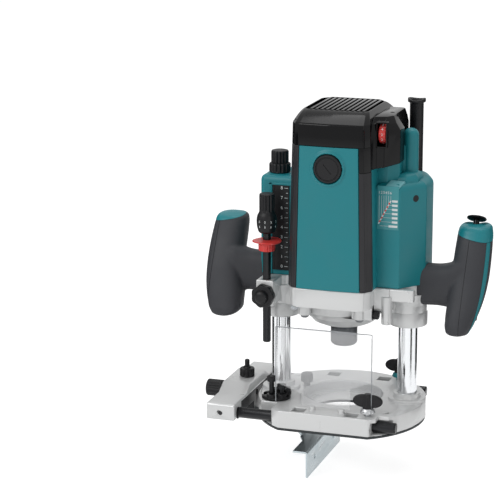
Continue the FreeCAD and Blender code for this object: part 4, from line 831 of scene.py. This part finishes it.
class ROUTER_OT_left_cover(bpy.types.Operator):
    """Teal cover over the left post, with the depth scale and the upper limit nut"""
    bl_idname = "router.left_cover"
    bl_label = "Left cover"

    def execute(self, context):
        low, high = box_mm("left_cover")
        x, top = low[0], high[2]
        plan = [(-39, 34), (x + 8, 34), (x, 22), (x, -12), (x + 4, -16), (-39, -16)]
        body = block(plan, FLOOR_Z + 0.3, top, corner=[0.3, 5, 5, 4, 4, 0.3], top=5.5, foot=0.6, steps=8)
        body = carved(body, [post_bore(-POST_X, 238.5)])
        frame_rim = [brick((x + 9.5, -17.4, FLOOR_Z + 0.5), (x + 13.6, -15, top - 7), 0.8),
                     brick((x + 9.5, -17.4, top - 9.5), (-SIDE_X - 0.4, -15, top - 7), 0.8)]
        collar = turned([(0, top - 2), (12.2, top - 2), (12.0, top + 0.15), (11.4, top + 0.45),
                         (0, top + 0.45)],
                        (-68, 0, 0), "Z", 48)
        piece("left_shell", join(body, *frame_rim, collar), "teal", "motor_unit",
              ["left_cover"], angle=40)
        plate_low, plate_high = box_mm("scale_plate")
        plate = brick(plate_low, plate_high, 0.35)
        groove = brick((plate_low[0] - 2.2, plate_low[1] + 0.1, plate_low[2]),
                       (plate_low[0], -15, plate_high[2]), 0.2)
        piece("depth_scale", join(plate, groove), "matt_black", "motor_unit", ["scale_plate"])
        print_parts = []
        face = plate_low[1]
        for step in range(17):
            z = plate_low[2] + 4 + step * 5.0
            long = 3.6 if step % 2 == 0 else 2.0
            print_parts.append(brick((plate_high[0] - 1.2 - long, face - 0.12, z - 0.22),
                                     (plate_high[0] - 1.2, face + 0.1, z + 0.22), 0.04))
            if step % 2 == 0:
                part = number(str(step // 2), 4.6, 0.2)
                print_parts.append(moved(part, (plate_high[0] - 7.6, face - 0.02, z), "-Y"))
        piece("scale_print", join(*print_parts), "white_print", "motor_unit")
        low, high = box_mm("limit_knob")
        foot, top = low[2], high[2]
        profile = [(0, foot), (9.6, foot), (10.6, foot + 0.9), (10.8, foot + 1.6), (10.8, foot + 8.4),
                   (10.2, foot + 9.4), (8.6, foot + 10), (8.8, foot + 10.8), (8.8, top - 1.4),
                   (8.2, top - 0.4), (6.8, top), (0, top)]
        knob = turned(profile, (-68, 0, 0), "Z", 168, flutes=(14, 1.0, foot + 1, top - 0.2, 3))
        piece("limit_nut_body", knob, "matt_black", "limit_nut", ["limit_knob"])
        return {"FINISHED"}


# ------------------------------------------------------------------ castings

SKIRT_FOOT, SKIRT_HALF = 121, 41.0


def on_posts(profile, steps=72):
    """The same round piece on the axis of each post."""
    return join(*[turned(profile, (x, 0, 0), "Z", steps) for x in (-POST_X, POST_X)])


class ROUTER_OT_bracket(bpy.types.Operator):
    """Painted casting under the housing: skirt, stepped sleeves, bosses and the dish round the spindle"""
    bl_idname = "router.bracket"
    bl_label = "Bracket"

    def execute(self, context):
        edge = context.scene.router_sizes.casting_edge / MM
        casting = from_frame("motor_bracket", "silver", edge * 1.4, segments=3)
        # The skirt's foot curves up towards its corners by 4 * (x / half)^2.
        for vert in casting.data.vertices:
            x, y, z = vert.co / MM
            if abs(x) < SKIRT_HALF + 0.2 and abs(y) > 36 and abs(z - SKIRT_FOOT) < 0.5:
                vert.co.z += 4 * (x / SKIRT_HALF) ** 2 * MM
        parts = []
        parts.append(on_posts([(12.3, 99.2), (17.6, 98.95), (18.9, 99.6), (19.3, 100.8), (19.3, 112.5),
                               (18.7, 113.6), (17, 114), (12.3, 114), (12.3, 99.2)]))
        parts.append(on_posts([(12.3, 113.5), (18.2, 113.5), (18.2, 118), (18.8, 124), (20.4, 130),
                               (21.2, 133), (12.3, 133), (12.3, 113.5)]))
        tube = [(2.2, 106.8), (4.6, 106.8), (5.2, 107.4), (5.6, 133.5), (5.2, 134.6), (4.2, 135), (2.4, 135),
                (2.2, 134), (2.2, 106.8)]
        parts.append(turned(tube, (53, -35, 0), "Z", 40))
        parts.append(brick((52.2, -36.5, 130), (80, -30, 142.8), 1.6))
        pad = [(ROD_X - 9.4, -43.3), (ROD_X + 9.4, -43.3), (ROD_X + 9.4, -10), (ROD_X - 9.4, -10)]
        parts.append(block(pad, 117.5, 142.4, corner=5, top=1.0, foot=2.2))
        boss = [(3.4, 39), (9.4, 39), (9.4, 43.4), (8.9, 44.1), (3.4, 44.1), (3.4, 39)]
        parts.append(turned(boss, (ROD_X, 0, middle_of("depth_clamp_knob")[2]), "-Y", 48))
        piece("bracket_details", join(*parts), "silver", "motor_unit")
        dish = [(10.8, 94), (11.5, 93.6), (15.2, 93.6), (15.8, 94.3), (16.2, 95.2), (21.5, 96.0),
                (22.4, 95.6), (24.6, 96.1), (25.2, 97.2), (29, 98.6), (30, 98.4), (31.6, 99.3), (32.2, 100.6),
                (35.6, 103.6), (36.5, 105), (36.5, 111.6), (36, 112), (10.8, 112), (10.8, 94)]
        piece("spindle_dish", turned(dish, steps=128), "silver", "motor_unit",
              ["bearing_cover"])
        for node, paint in (("lamp", "lens"), ("sleeve_bushes", "bronze"), ("housing_screws", "steel"),
                            ("shaft_lock", "matt_black"), ("plunge_lever", "matt_black")):
            from_frame(node, paint, 0.3 if node != "plunge_lever" else 1.2)
        return {"FINISHED"}


class ROUTER_OT_base(bpy.types.Operator):
    """Round base casting with its dark sole, posts, clear shield and screws"""
    bl_idname = "router.base"
    bl_label = "Base"

    def execute(self, context):
        edge = context.scene.router_sizes.casting_edge / MM
        from_frame("base_casting", "silver", edge, segments=3)
        from_frame("sole_plate", "laminate", 0.4)
        from_frame("sole_screws", "black_steel", 0.3)
        rings = []
        foot = 10.8
        for radius, top in ((39.2, 12.3), (34.2, 11.9)):
            rings.append(turned([(radius - 1.5, foot), (radius + 0.4, foot), (radius + 0.4, top - 0.4),
                                 (radius, top),
                                 (radius - 1.1, top), (radius - 1.5, top - 0.4), (radius - 1.5, foot)],
                                steps=128))
        piece("base_rings", join(*rings), "silver", "base")
        clear = turned([(31.5, 12.0), (38.5, 13.6), (39.3, 14.6), (39.3, 21.6), (38.4, 21.6), (38.3, 15.2),
                        (37.6, 14.5), (31.5, 12.9), (31.5, 12.0)], steps=128)
        piece("opening_ring", clear, "clear", "base")
        seam = brick((-2.3, -76.0, 3), (-1.9, -75, 15.2), 0.05)
        piece("base_seam", seam, "steel", "base")
        low, high = box_mm("right_post")
        foot, top, radius = low[2], high[2], (high[0] - low[0]) / 2
        posts = on_posts([(7, foot), (radius - 0.3, foot), (radius, foot + 0.3), (radius, top - 0.3),
                          (radius - 0.3, top), (7, top), (7, foot)], 128)
        piece("plunge_posts", posts, "chrome", "base", ["left_post", "right_post"])
        collars = on_posts([(9.9, 27), (13.2, 27), (13.8, 27.7), (13.6, 28.3), (10.4, 28.6), (9.9, 28.3),
                            (9.9, 27)])
        piece("post_collars", collars, "silver", "base")
        dress("limit_rod", "black_steel")
        dress("return_springs", "steel")
        foot, head = (corner[2] for corner in box_mm("return_springs"))
        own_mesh(frame["nodes"]["return_springs"])
        foot = box_mm("ring_screw")[0][2]
        x, y = middle_of("ring_screw")[:2]
        cap = [(0, 24.5), (5.4, 24.5), (6.2, 25.1), (6.2, 31.8), (5.6, 33.1), (4.2, 33.9), (2, 34), (0, 34)]
        parts = [turned(cap, (x, y, 0), "Z", 96, flutes=(12, 0.5, 25, 32, 2)),
                 turned([(0, foot), (3, foot), (3, 24.6), (0, 24.6)], (x, y, 0), "Z", 32)]
        piece("ring_screw_cap", join(*parts), "grey_plastic", "base", ["ring_screw"])
        return {"FINISHED"}


class ROUTER_OT_shield(bpy.types.Operator):
    """Clear chip shield with painted highlights along its edges"""
    bl_idname = "router.shield"
    bl_label = "Chip shield"

    def execute(self, context):
        from_frame("chip_deflector", "clear", 0.2, angle=20)
        # Painted highlights: thin grey strips along the shield's top and side edges stand for the light that
        # the clear edges catch.
        edge_highlights = [brick((-51.6, -64.5, 102.5), (46.4, -63.6, 103.4), 0.2),
                brick((-52, -64.5, 26), (-51.2, -63.6, 103), 0.2),
                brick((46, -64.5, 26), (46.8, -63.6, 103), 0.2)]
        piece("shield_rim", join(*edge_highlights), "clear_edge", "base")
        return {"FINISHED"}


class ROUTER_OT_wing_bolts(bpy.types.Operator):
    """Two wing bolts that clamp the guide rods"""
    bl_idname = "router.wing_bolts"
    bl_label = "Wing bolts"

    def execute(self, context):
        turn = np.arange(72) * 2 * math.pi / 72
        for node, sign in (("front_wing_bolt", -1), ("rear_wing_bolt", 1)):
            low, high = box_mm(node)
            x, y = middle_of(node)[:2]
            reach = (high[0] - low[0]) / 2
            # Wing outline: an ellipse with a waist, 1 - 0.16 exp(-(3 x / reach)^2) as high in the middle.
            across = reach * np.cos(turn)
            up = 7.3 * np.abs(np.sin(turn)) ** 0.9 * np.sign(np.sin(turn))
            up *= 1 - 0.16 * np.exp(-(3 * across / reach) ** 2)
            wing = slab(np.stack([across, up], 1), -2.2, 2.2, 1.7, (x, y, 35.0), "-Y")
            stem = turned([(0, 24), (4.6, 24), (5.4, 25.5), (5.0, 30), (4.2, 36), (3.8, 41.5), (3.2, 42.3),
                           (0, 42.4)],
                          (x, y, 0), "Z", 96, flutes=(8, 0.6, 25, 41, 2))
            piece(f"{node}_wing", join(wing, stem), "matt_black", body_of(node), [node])
            foot = [(3, low[2]), (3, 23.6), (7.4, 23.6), (7.4, 24.6), (6.6, 26.6), (5.4, 27.8), (0, 27.9),
                    (0, low[2])]
            piece(f"{node}_foot", turned(foot, (x, y, 0), "Z", 48), "machined" if sign < 0 else "teal",
                  body_of(node))
        return {"FINISHED"}


class ROUTER_OT_guide(bpy.types.Operator):
    """Straight guide: rods, cast holder, slide, angle fence, adjuster and clamp knob"""
    bl_idname = "router.guide"
    bl_label = "Straight guide"

    def execute(self, context):
        from_frame("guide_holder", "silver", 1.3, segments=3)
        from_frame("fence_slide", "matt_black", 0.6)
        # Painted shade: a dark disc set into the holder's front hole stands for the shade inside it.
        hole = turned([(0, 73), (2.2, 73), (2.1, 75.15), (0, 75.15)], (-106.2, 0, 11.2), "-Y", 32)
        piece("holder_hole", hole, "carbon", "guide")
        from_frame("fence", "zinc", 0.35)
        from_frame("guide_rods", "black_steel", 0.6)
        low, high = box_mm("fence_adjuster")
        root, tip = -high[0], -low[0]
        profile = [(0, root), (3, root), (3, tip - 17), (8.2, tip - 17), (8.75, tip - 16.4), (8.75, tip - 1),
                   (8.1, tip - 0.2), (6.6, tip), (6.2, tip - 0.8), (0, tip - 0.8)]
        knob = turned(profile, (0, 0, middle_of("fence_adjuster")[2]), "-X", 144,
                      flutes=(18, 0.7, tip - 16.5, tip - 0.4, 2))
        piece("fence_knob", knob, "matt_black", "fence_screw", ["fence_adjuster"])
        low, high = box_mm("guide_clamp_knob")
        foot, top = low[2], high[2]
        profile = [(0, foot), (3.8, foot), (3.8, 28.3), (6.9, 28.3), (7.75, 29), (7.75, 35.8), (7, 36.9),
                   (4.4, 37.2),
                   (3.9, 37.8), (3.6, 38.6), (2.5, 39), (2.5, top - 1.1), (1.9, top - 0.1), (0, top)]
        knob = turned(profile, (middle_of("guide_clamp_knob")[0], 0, 0), "Z", 120,
                      flutes=(10, 1.0, 28.8, 36.9, 2))
        piece("guide_knob", knob, "matt_black", "guide_clamp", ["guide_clamp_knob"])
        return {"FINISHED"}


class ROUTER_OT_turret(bpy.types.Operator):
    """Three-step turret with its stop screws"""
    bl_idname = "router.turret"
    bl_label = "Turret stop"

    def execute(self, context):
        from_frame("turret", "matt_black", 0.15)
        from_frame("turret_screws", "black_steel", 0.35)
        parts = []
        reach = 10.0
        x, y = ROD_X + reach, ROD_Y
        for degrees, top in ((-100, 45.5), (-40, 37.0), (20, 31.0)):
            turn = math.radians(degrees)
            at = (x + reach * math.cos(turn), y + reach * math.sin(turn), 0)
            nut = [(2, 23.4), (4.8, 23.4), (5.2, 23.9), (5.2, 26.6), (4.8, 27.1), (2, 27.1), (2, 23.4)]
            parts.append(turned(nut, at, "Z", 96, flutes=(12, 0.35, 23.5, 27, 1)))
            head = [(2, top - 3.6), (4.4, top - 3.6), (4.7, top - 3.2), (4.7, top - 0.4), (4.3, top),
                    (2, top), (2, top - 3.6)]
            parts.append(turned(head, at, "Z", 96, flutes=(16, 0.3, top - 3.5, top - 0.2, 1)))
        cone = [(4, 26.4), (5.6, 26.4), (5.5, 28.4), (4.9, 29.6), (4, 29.8), (4, 26.4)]
        parts.append(turned(cone, (x, y, 0)))
        piece("turret_nuts", join(*parts), "matt_black", "turret")
        return {"FINISHED"}


class ROUTER_OT_depth_gauge(bpy.types.Operator):
    """Depth rod with its fine knob, red pointer and clamp knob"""
    bl_idname = "router.depth_gauge"
    bl_label = "Depth gauge"

    def execute(self, context):
        x, y = ROD_X, ROD_Y
        low, high = box_mm("depth_rod")
        profile = [(0, low[2]), (3.3, low[2]), (4, low[2] + 0.8), (4, 189.6), (3.6, 190), (2.5, 190.1),
                   (2.5, high[2]), (0, high[2])]
        piece("depth_bar", turned(profile, (x, y, 0), "Z", 64), "black_steel", "depth_stop",
              ["depth_rod"])
        low, high = box_mm("fine_knob")
        foot, top = low[2], high[2]
        barrel = [(2.6, foot), (7.2, foot), (8.4, foot + 1.2), (9.5, foot + 5), (10.1, foot + 9),
                  (10.2, foot + 12),
                  (10.0, foot + 15), (9.3, foot + 18), (8.0, foot + 20.2), (7.7, foot + 20.8),
                  (7.65, foot + 22),
                  (7.65, top - 1.5), (7.2, top - 0.5), (6.2, top), (2.0, top), (0, top - 0.1)]
        close = [(0, top - 5.8), (2.6, top - 5.8), (2.6, foot)]
        knob = turned(barrel + close, (x, y, 0), "Z", 144, flutes=(12, 0.9, foot + 21.4, top - 0.4, 2))
        piece("fine_knob_body", knob, "matt_black", "fine_setting", ["fine_knob"])
        marks = []
        for degrees in (-118, -83, -48, -13, 60, 130, 200):
            turn = math.radians(degrees)
            out = np.array([math.cos(turn), math.sin(turn), 0])
            side = np.array([-math.sin(turn), math.cos(turn), 0])
            spin = np.stack([side, np.array([0, 0, 1.0]), out], axis=1)
            part = number("3" if degrees > -100 else "0", 3.4, 0.25)
            marks.append((part[0] @ spin.T + np.array([x, y, foot + 12]) + out * 10.1, part[1]))
            line = brick((-0.35, -1.3, -0.12), (0.35, 1.3, 0.12), 0.05)
            marks.append((line[0] @ spin.T + np.array([x, y, foot + 7.4]) + out * 9.85, line[1]))
        piece("fine_knob_marks", join(*marks), "white_print", "fine_setting")
        low, high = box_mm("depth_pointer")
        foot, top = low[2], high[2]
        profile = [(4.1, foot), (7.4, foot), (8.3, foot + 0.8), (8.5, foot + 7.2), (10, foot + 8.4),
                   (14.0, top - 2.3),
                   (14.6, top - 1.6), (14.4, top - 1.0), (9.2, top), (4.1, top), (4.1, foot)]
        sleeve = turned(profile, (x, y, 0), "Z", 160, flutes=(20, 0.55, foot + 0.4, foot + 7.4, 1))
        points = sleeve[0]
        away = np.hypot(points[:, 0] - x, points[:, 1] - y)
        turn = np.arctan2(points[:, 1] - y, points[:, 0] - x)
        points[:, 2] -= 0.9 * smooth_step(away, 10, 14.6) * np.cos(turn * 2 + 0.6) * 0.5
        points[:, 2] = np.minimum(points[:, 2], top)
        piece("red_pointer", sleeve, "red", "pointer", ["depth_pointer"])
        z = middle_of("depth_clamp_knob")[2]
        profile = [(0, 40.3), (3, 40.3), (3, 40.5), (3, 43.9), (9, 43.9), (11.6, 44.4), (12, 45.4),
                   (12, 50.6), (11.4, 51.8),
                   (10, 52.2), (8.4, 52.0), (7.2, 52.2), (6.6, 53), (6.4, 55.6), (5.6, 57.2), (3.8, 58.2),
                   (0, 58.45)]
        knob = turned(profile, (x, 0, z), "-Y", 144, flutes=(7, 1.6, 43.9, 52.3, 1))
        piece("clamp_knob", knob, "matt_black", "depth_clamp", ["depth_clamp_knob"])
        return {"FINISHED"}


# ------------------------------------------------------------------ handles

GRIP_UP = np.array([0, math.sin(LEAN), math.cos(LEAN)])
GRIP_AHEAD = np.array([0, -math.cos(LEAN), math.sin(LEAN)])


def superellipse(half_x, half_y, power, steps=72):
    """Plan |x/a|^n + |y/b|^n = 1, walked by angle."""
    turn = np.arange(steps) * 2 * math.pi / steps
    cosine, sine = np.cos(turn), np.sin(turn)
    return np.stack([half_x * np.sign(cosine) * np.abs(cosine) ** (2 / power),
                     half_y * np.sign(sine) * np.abs(sine) ** (2 / power)], 1)


def smooth_rows(table, count):
    """Rows between the given ones; each column follows a smooth curve through its values."""
    table = np.array(table, float)
    key = table[:, 0]
    wanted = np.linspace(key[0], key[-1], count)
    slopes = np.gradient(table, key, axis=0)
    place = np.clip(np.searchsorted(key, wanted, side="right") - 1, 0, len(key) - 2)
    width = (key[place + 1] - key[place])[:, None]
    t = ((wanted - key[place]) / width[:, 0])[:, None]
    a, b, c, d = table[place], table[place + 1], slopes[place] * width, slopes[place + 1] * width
    return (2 * t ** 3 - 3 * t ** 2 + 1) * a + (t ** 3 - 2 * t ** 2 + t) * c + (3 * t ** 2 - 2 * t ** 3) * b + (
        t ** 3 - t ** 2) * d


GRIP_X = 128.0
GRIP_MIDDLE = np.array([GRIP_X, -0.5, 147.0])
BUTTON_AXIS = (126, 17, 177)  # a point on the lock-off button's axis
# Rows: height, middle x, middle y, half x, half y.
GRIP_ROWS = [(99.0, 122.0, -24.6, 5.0, 6.6), (100.6, 122.2, -24.4, 9.2, 11.2),
             (105, 122.8, -22.8, 12.4, 15.0),
             (114, 124.2, -18.4, 14.8, 17.4), (130, 126.6, -9.8, 17.2, 18.4), (147, 127.9, -0.5, 18.3, 18.6),
             (165, 128.2, 9.4, 18.2, 18.6), (180, 128.0, 17.6, 17.4, 18.0), (188, 127.8, 21.6, 16.4, 17.0),
             (192.6, 127.8, 23.6, 14.2, 14.8), (194.4, 127.8, 24.4, 10.4, 11.0),
             (194.9, 127.8, 24.6, 5.0, 6.0)]
# Rows: distance out, middle y, middle height, half y, half height.
NECK_ROWS = [(76.0, 0.0, 142.0, 14.6, 20.8), (88, 0.0, 141.8, 13.4, 20.4), (98, 0.4, 142.0, 13.6, 20.4),
             (106, 0.8, 142.4, 14.6, 21.6), (114, 1.0, 143.2, 15.6, 23.6), (124, 1.0, 143.2, 14.0, 23.0)]


def handle_mesh(side, voxel, cuts):
    """Grip and neck blended: the two closed shapes are merged on a grid and smoothed, then hollows are cut."""
    table = np.array(GRIP_ROWS, float)
    share = smooth_step(table[:, 0], 150, 195)
    if side > 0:
        table[:, 1] -= 0.9
        table[:, 0] += 5.4 * share
        table[:, 2] += 3.0 * share
    else:
        low = smooth_step(table[:, 0], 98, 106) * (1 - smooth_step(table[:, 0], 114, 150))
        table[:, 1] -= 2.5 + 2.5 * low
        table[:, 3] += 3.2 * low
    rings = []
    for height, x, y, half_x, half_y in smooth_rows(table, 60):
        plan = superellipse(half_x, half_y, 2.5)
        rings.append(level(plan + (side * x, y), height))
    grip = skin(rings)
    rings = []
    for x, y, z, half_y, half_z in smooth_rows(NECK_ROWS, 30):
        plan = superellipse(half_y, half_z, 3.4)
        rings.append(np.stack([np.full(len(plan), side * x), plan[:, 0] + y, plan[:, 1] + z], 1))
    obj = loose(join(grip, skin(rings)))
    grid = obj.modifiers.new("grid", "REMESH")
    grid.mode = "VOXEL"
    grid.voxel_size = voxel
    relax = obj.modifiers.new("relax", "SMOOTH")
    relax.iterations = 8
    relax.factor = 0.6
    return hollowed(obj, cuts)


def sliced(mesh, planes, name, paint, body, replaces=(), swell=0.0):
    """Copy of a closed mesh kept behind each plane (point, normal in millimetres) and closed again."""
    work = bmesh.new()
    work.from_mesh(mesh)
    if swell:
        work.normal_update()
        for vert in work.verts:
            vert.co += vert.normal * swell * MM
    for point, normal in planes:
        shape = bmesh.ops.bisect_plane(work, geom=work.verts[:] + work.edges[:] + work.faces[:],
                                       plane_co=Vector(point) * MM, plane_no=Vector(normal), clear_outer=True)
        rim = [item for item in shape["geom_cut"] if isinstance(item, bmesh.types.BMEdge)]
        bmesh.ops.holes_fill(work, edges=rim)
    bmesh.ops.recalc_face_normals(work, faces=work.faces)
    new = bpy.data.meshes.new(name)
    work.to_mesh(new)
    work.free()
    smooth_sharp(new, 40)
    new.materials.append(FINISHES[paint])
    return settle(link_new(name, new), body, replaces)


class ROUTER_OT_handles(bpy.types.Operator):
    """Two leaning rubber grips with teal caps, the rear switch trigger and the lock-off button"""
    bl_idname = "router.handles"
    bl_label = "Handles"

    def execute(self, context):
        voxel = context.scene.router_sizes.grip_voxel
        for side, name in ((-1, "left"), (1, "right")):
            cuts = []
            if side > 0:
                points, faces = brick((-7.6, -40, -34.8), (7.6, 5, 12.8), 1.5)
                cuts.append((points @ np.array([(1, 0, 0), GRIP_AHEAD, GRIP_UP]) + GRIP_MIDDLE, faces))
                cuts.append(turned([(0, 21.4), (7.0, 21.4), (11.2, 23.6), (12.4, 28), (12.6, 60), (0, 60)],
                                   BUTTON_AXIS, "grip"))
            mesh = handle_mesh(side, voxel, cuts)
            across = np.array([side * 0.18, -0.05, 0.98])
            line = np.array([side * GRIP_X, 8.0, 187.6 if side > 0 else 189.6])
            under = (line, across)
            over = (line + across * 0.35, -across)
            split = side * GRIP_X - (6.5 if side < 0 else 3.0)
            for half, way in (("inner", -side), ("outer", side)):
                plane = ((split + way * 0.22, 0, 0), (-way, 0, 0))
                sliced(mesh, [under, plane], f"{name}_grip_{half}", "rubber", "motor_unit",
                       [f"{name}_handle"] if half == "inner" else ())
            sliced(mesh, [under], f"{name}_grip_core", "matt_black", "motor_unit", swell=-0.5)
            sliced(mesh, [over], f"{name}_cap", "teal", "motor_unit", [f"{name}_handle_cap"],
                   swell=0.25)
            if side > 0:
                planes = [under, (GRIP_MIDDLE, (-1, 0, 0))]
                for degrees, sign in ((-38, -1), (-21, 1)):
                    turn = math.radians(degrees)
                    normal = ALONG["grip"] @ np.array([-math.sin(turn), math.cos(turn), 0]) * sign
                    planes.append((GRIP_MIDDLE, normal))
                sliced(mesh, planes, "right_grip_strip", "teal", "motor_unit", swell=0.35)
            bpy.data.meshes.remove(mesh)
        from_frame("trigger", "matt_black", 2.0, segments=4)
        dress("trigger_switch", "matt_black")
        button = [(0, 3.8), (3, 3.8), (3, 28.2), (6, 28.6), (8.8, 29.2), (9.8, 29.8), (10, 30.6),
                  (9.4, 31.4), (6.0, 32.1), (3, 32.4), (0, 32.5)]
        piece("lock_cap", turned(button, BUTTON_AXIS, "grip", 72), "gloss_black", "lock_off",
              ["lock_button"])
        return {"FINISHED"}


# ------------------------------------------------------------------ inner pieces

class ROUTER_OT_inner(bpy.types.Operator):
    """Spindle, collet, motor and board inside the housing"""
    bl_idname = "router.inner"
    bl_label = "Spindle and motor"

    def execute(self, context):
        from_frame("collet_nut", "nut_steel", 0.7, segments=3)
        for node, paint in (("spindle", "machined"), ("collet", "machined"), ("armature", "iron"),
                            ("stator", "iron"),
                            ("commutator", "copper"), ("fan", "grey_plastic"), ("lower_bearing", "chrome"),
                            ("upper_bearing", "chrome"), ("brush_holders", "brass"),
                            ("carbon_brushes", "carbon"),
                            ("control_board", "board")):
            dress(node, paint)
        return {"FINISHED"}


# ------------------------------------------------------------------ stage

# The camera's place, its directions to the right, up and backwards, and its lens.
CAMERA_AT = Vector((0.53790975, -1.89677273, 0.6585305))
CAMERA_TURN = (Vector((0.94803137, 0.31817018, -0.00206458)), Vector((-0.07477727, 0.22910673, 0.97052484)),
               Vector((0.30926507, -0.91993361, 0.24099226)))
CAMERA_LENS = 146.59
AIM = Vector((0, 0, 0.13))
FLOOR_HALF, FLOOR_LEVEL = 6, -0.0545


def lamp(name, at, size, power):
    """A rectangular light that looks at the router."""
    data = bpy.data.lights.new(name, "AREA")
    data.energy = power
    data.shape = "RECTANGLE"
    data.size, data.size_y = size
    obj = link_new(name, data)
    obj.location = at
    obj.rotation_euler = (AIM - Vector(at)).to_track_quat("-Z", "Y").to_euler()


def sheet(name, corners, material):
    """A flat stage piece with four corners."""
    mesh = bpy.data.meshes.new(name)
    mesh.from_pydata(corners, [], [(0, 1, 2, 3)])
    mesh.materials.append(material)
    obj = link_new(name, mesh)
    return obj


def direct_ray(tree):
    """Socket that is 1 for rays from the camera, off glossy surfaces and through clear ones."""
    path = tree.nodes.new("ShaderNodeLightPath")
    seen = path.outputs["Is Camera Ray"]
    for ray in ("Is Glossy Ray", "Is Transmission Ray"):
        either = shader_node(tree, "ShaderNodeMath", links={0: seen, 1: path.outputs[ray]})
        either.operation = "MAXIMUM"
        seen = either.outputs["Value"]
    return seen


def two_levels(tree, other, direct):
    """Socket with one value for direct rays and another for the rays that light the scene."""
    level = shader_node(tree, "ShaderNodeMapRange", {"To Min": other, "To Max": direct},
                        {"Value": direct_ray(tree)})
    return level.outputs["Result"]


class ROUTER_OT_stage(bpy.types.Operator):
    """Camera, white floor and background, soft studio lights and dark cards for reflections"""
    bl_idname = "router.stage"
    bl_label = "Stage"

    def execute(self, context):
        scene = context.scene
        scene.view_settings.view_transform = "Standard"
        data = bpy.data.cameras.new("view")
        data.lens = CAMERA_LENS
        data.sensor_width = 36
        data.clip_end = 20
        camera = link_new("view", data)
        camera.matrix_world = Matrix.Translation(CAMERA_AT) @ Matrix(CAMERA_TURN).transposed().to_4x4()
        scene.camera = camera
        scene.world = bpy.data.worlds.new("studio")
        tree = empty_tree(scene.world)
        shade = shader_node(tree, "ShaderNodeBackground", links={"Strength": two_levels(tree, 0.42, 1.0)})
        shader_node(tree, "ShaderNodeOutputWorld", links={"Surface": shade.outputs["Background"]})
        white = bpy.data.materials.new("floor_white")
        tree = empty_tree(white)
        plain = shader_node(tree, "ShaderNodeBsdfDiffuse", {"Color": (0.6, 0.6, 0.6, 1)})
        glow = shader_node(tree, "ShaderNodeEmission", links={"Strength": two_levels(tree, 0.25, 0.82)})
        shaders = {0: plain.outputs["BSDF"], 1: glow.outputs["Emission"]}
        both = shader_node(tree, "ShaderNodeAddShader", links=shaders)
        shader_node(tree, "ShaderNodeOutputMaterial", links={"Surface": both.outputs["Shader"]})
        corners = [(x * FLOOR_HALF, y * FLOOR_HALF, FLOOR_LEVEL) for x,
                   y in ((-1, -1), (1, -1), (1, 1), (-1, 1))]
        sheet("floor", corners, white)
        lamp("key", (-1.1, -1.5, 1.5), (1.2, 1.2), 20)
        lamp("fill", (1.6, -1.2, 0.7), (0.6, 1.2), 4)
        lamp("top", (0.1, 0.4, 1.9), (1.4, 1.0), 10)
        dark = bpy.data.materials.new("card_black")
        dark.use_nodes = True
        dark.node_tree.nodes["Principled BSDF"].inputs["Base Color"].default_value = (0.004, 0.004, 0.004, 1)
        for name, x, y, half in (("card_left", -0.3, -0.3, 0.05), ("card_right", 0.34, -0.2, 0.06),
                                 ("card_far_left", -0.33, 0.1, 0.15), ("card_far_right", 0.27, 0.24, 0.15)):
            along = Vector((y, -x, 0)).normalized() * half
            foot, head = Vector((x, y, -0.05)), Vector((x, y, 0.3))
            card = sheet(name, [foot - along, foot + along, head + along, head - along], dark)
            card.visible_camera = card.visible_diffuse = card.visible_shadow = card.visible_transmission = False
        return {"FINISHED"}


# ------------------------------------------------------------------ panel and run

PIECES = (ROUTER_OT_finishes, ROUTER_OT_housing, ROUTER_OT_top_cover, ROUTER_OT_brush_caps,
          ROUTER_OT_control_hood,
          ROUTER_OT_right_cover, ROUTER_OT_left_cover, ROUTER_OT_bracket, ROUTER_OT_base, ROUTER_OT_shield,
          ROUTER_OT_wing_bolts, ROUTER_OT_guide, ROUTER_OT_turret, ROUTER_OT_depth_gauge, ROUTER_OT_handles,
          ROUTER_OT_inner, ROUTER_OT_stage)


class VIEW3D_PT_router(bpy.types.Panel):
    """Lists the router's pieces and their settings"""
    bl_label = "Plunge router"
    bl_space_type = "VIEW_3D"
    bl_region_type = "UI"
    bl_category = "Router"

    def draw(self, context):
        layout = self.layout
        for group in (context.scene.router_colours, context.scene.router_sizes):
            for name in group.__annotations__:
                layout.prop(group, name)
        for operator in PIECES:
            layout.operator(operator.bl_idname)


CLASSES = (RouterColours, RouterSizes) + PIECES + (VIEW3D_PT_router,)


def register():
    for item in CLASSES:
        bpy.utils.register_class(item)
    bpy.types.Scene.router_colours = bpy.props.PointerProperty(type=RouterColours)
    bpy.types.Scene.router_sizes = bpy.props.PointerProperty(type=RouterSizes)


def unregister():
    del bpy.types.Scene.router_sizes
    del bpy.types.Scene.router_colours
    for item in reversed(CLASSES):
        bpy.utils.unregister_class(item)


def main():
    """Build every piece in order."""
    register()
    for operator in PIECES:
        group, name = operator.bl_idname.split(".")
        getattr(getattr(bpy.ops, group), name)()


if __name__ == "__main__":
    main()
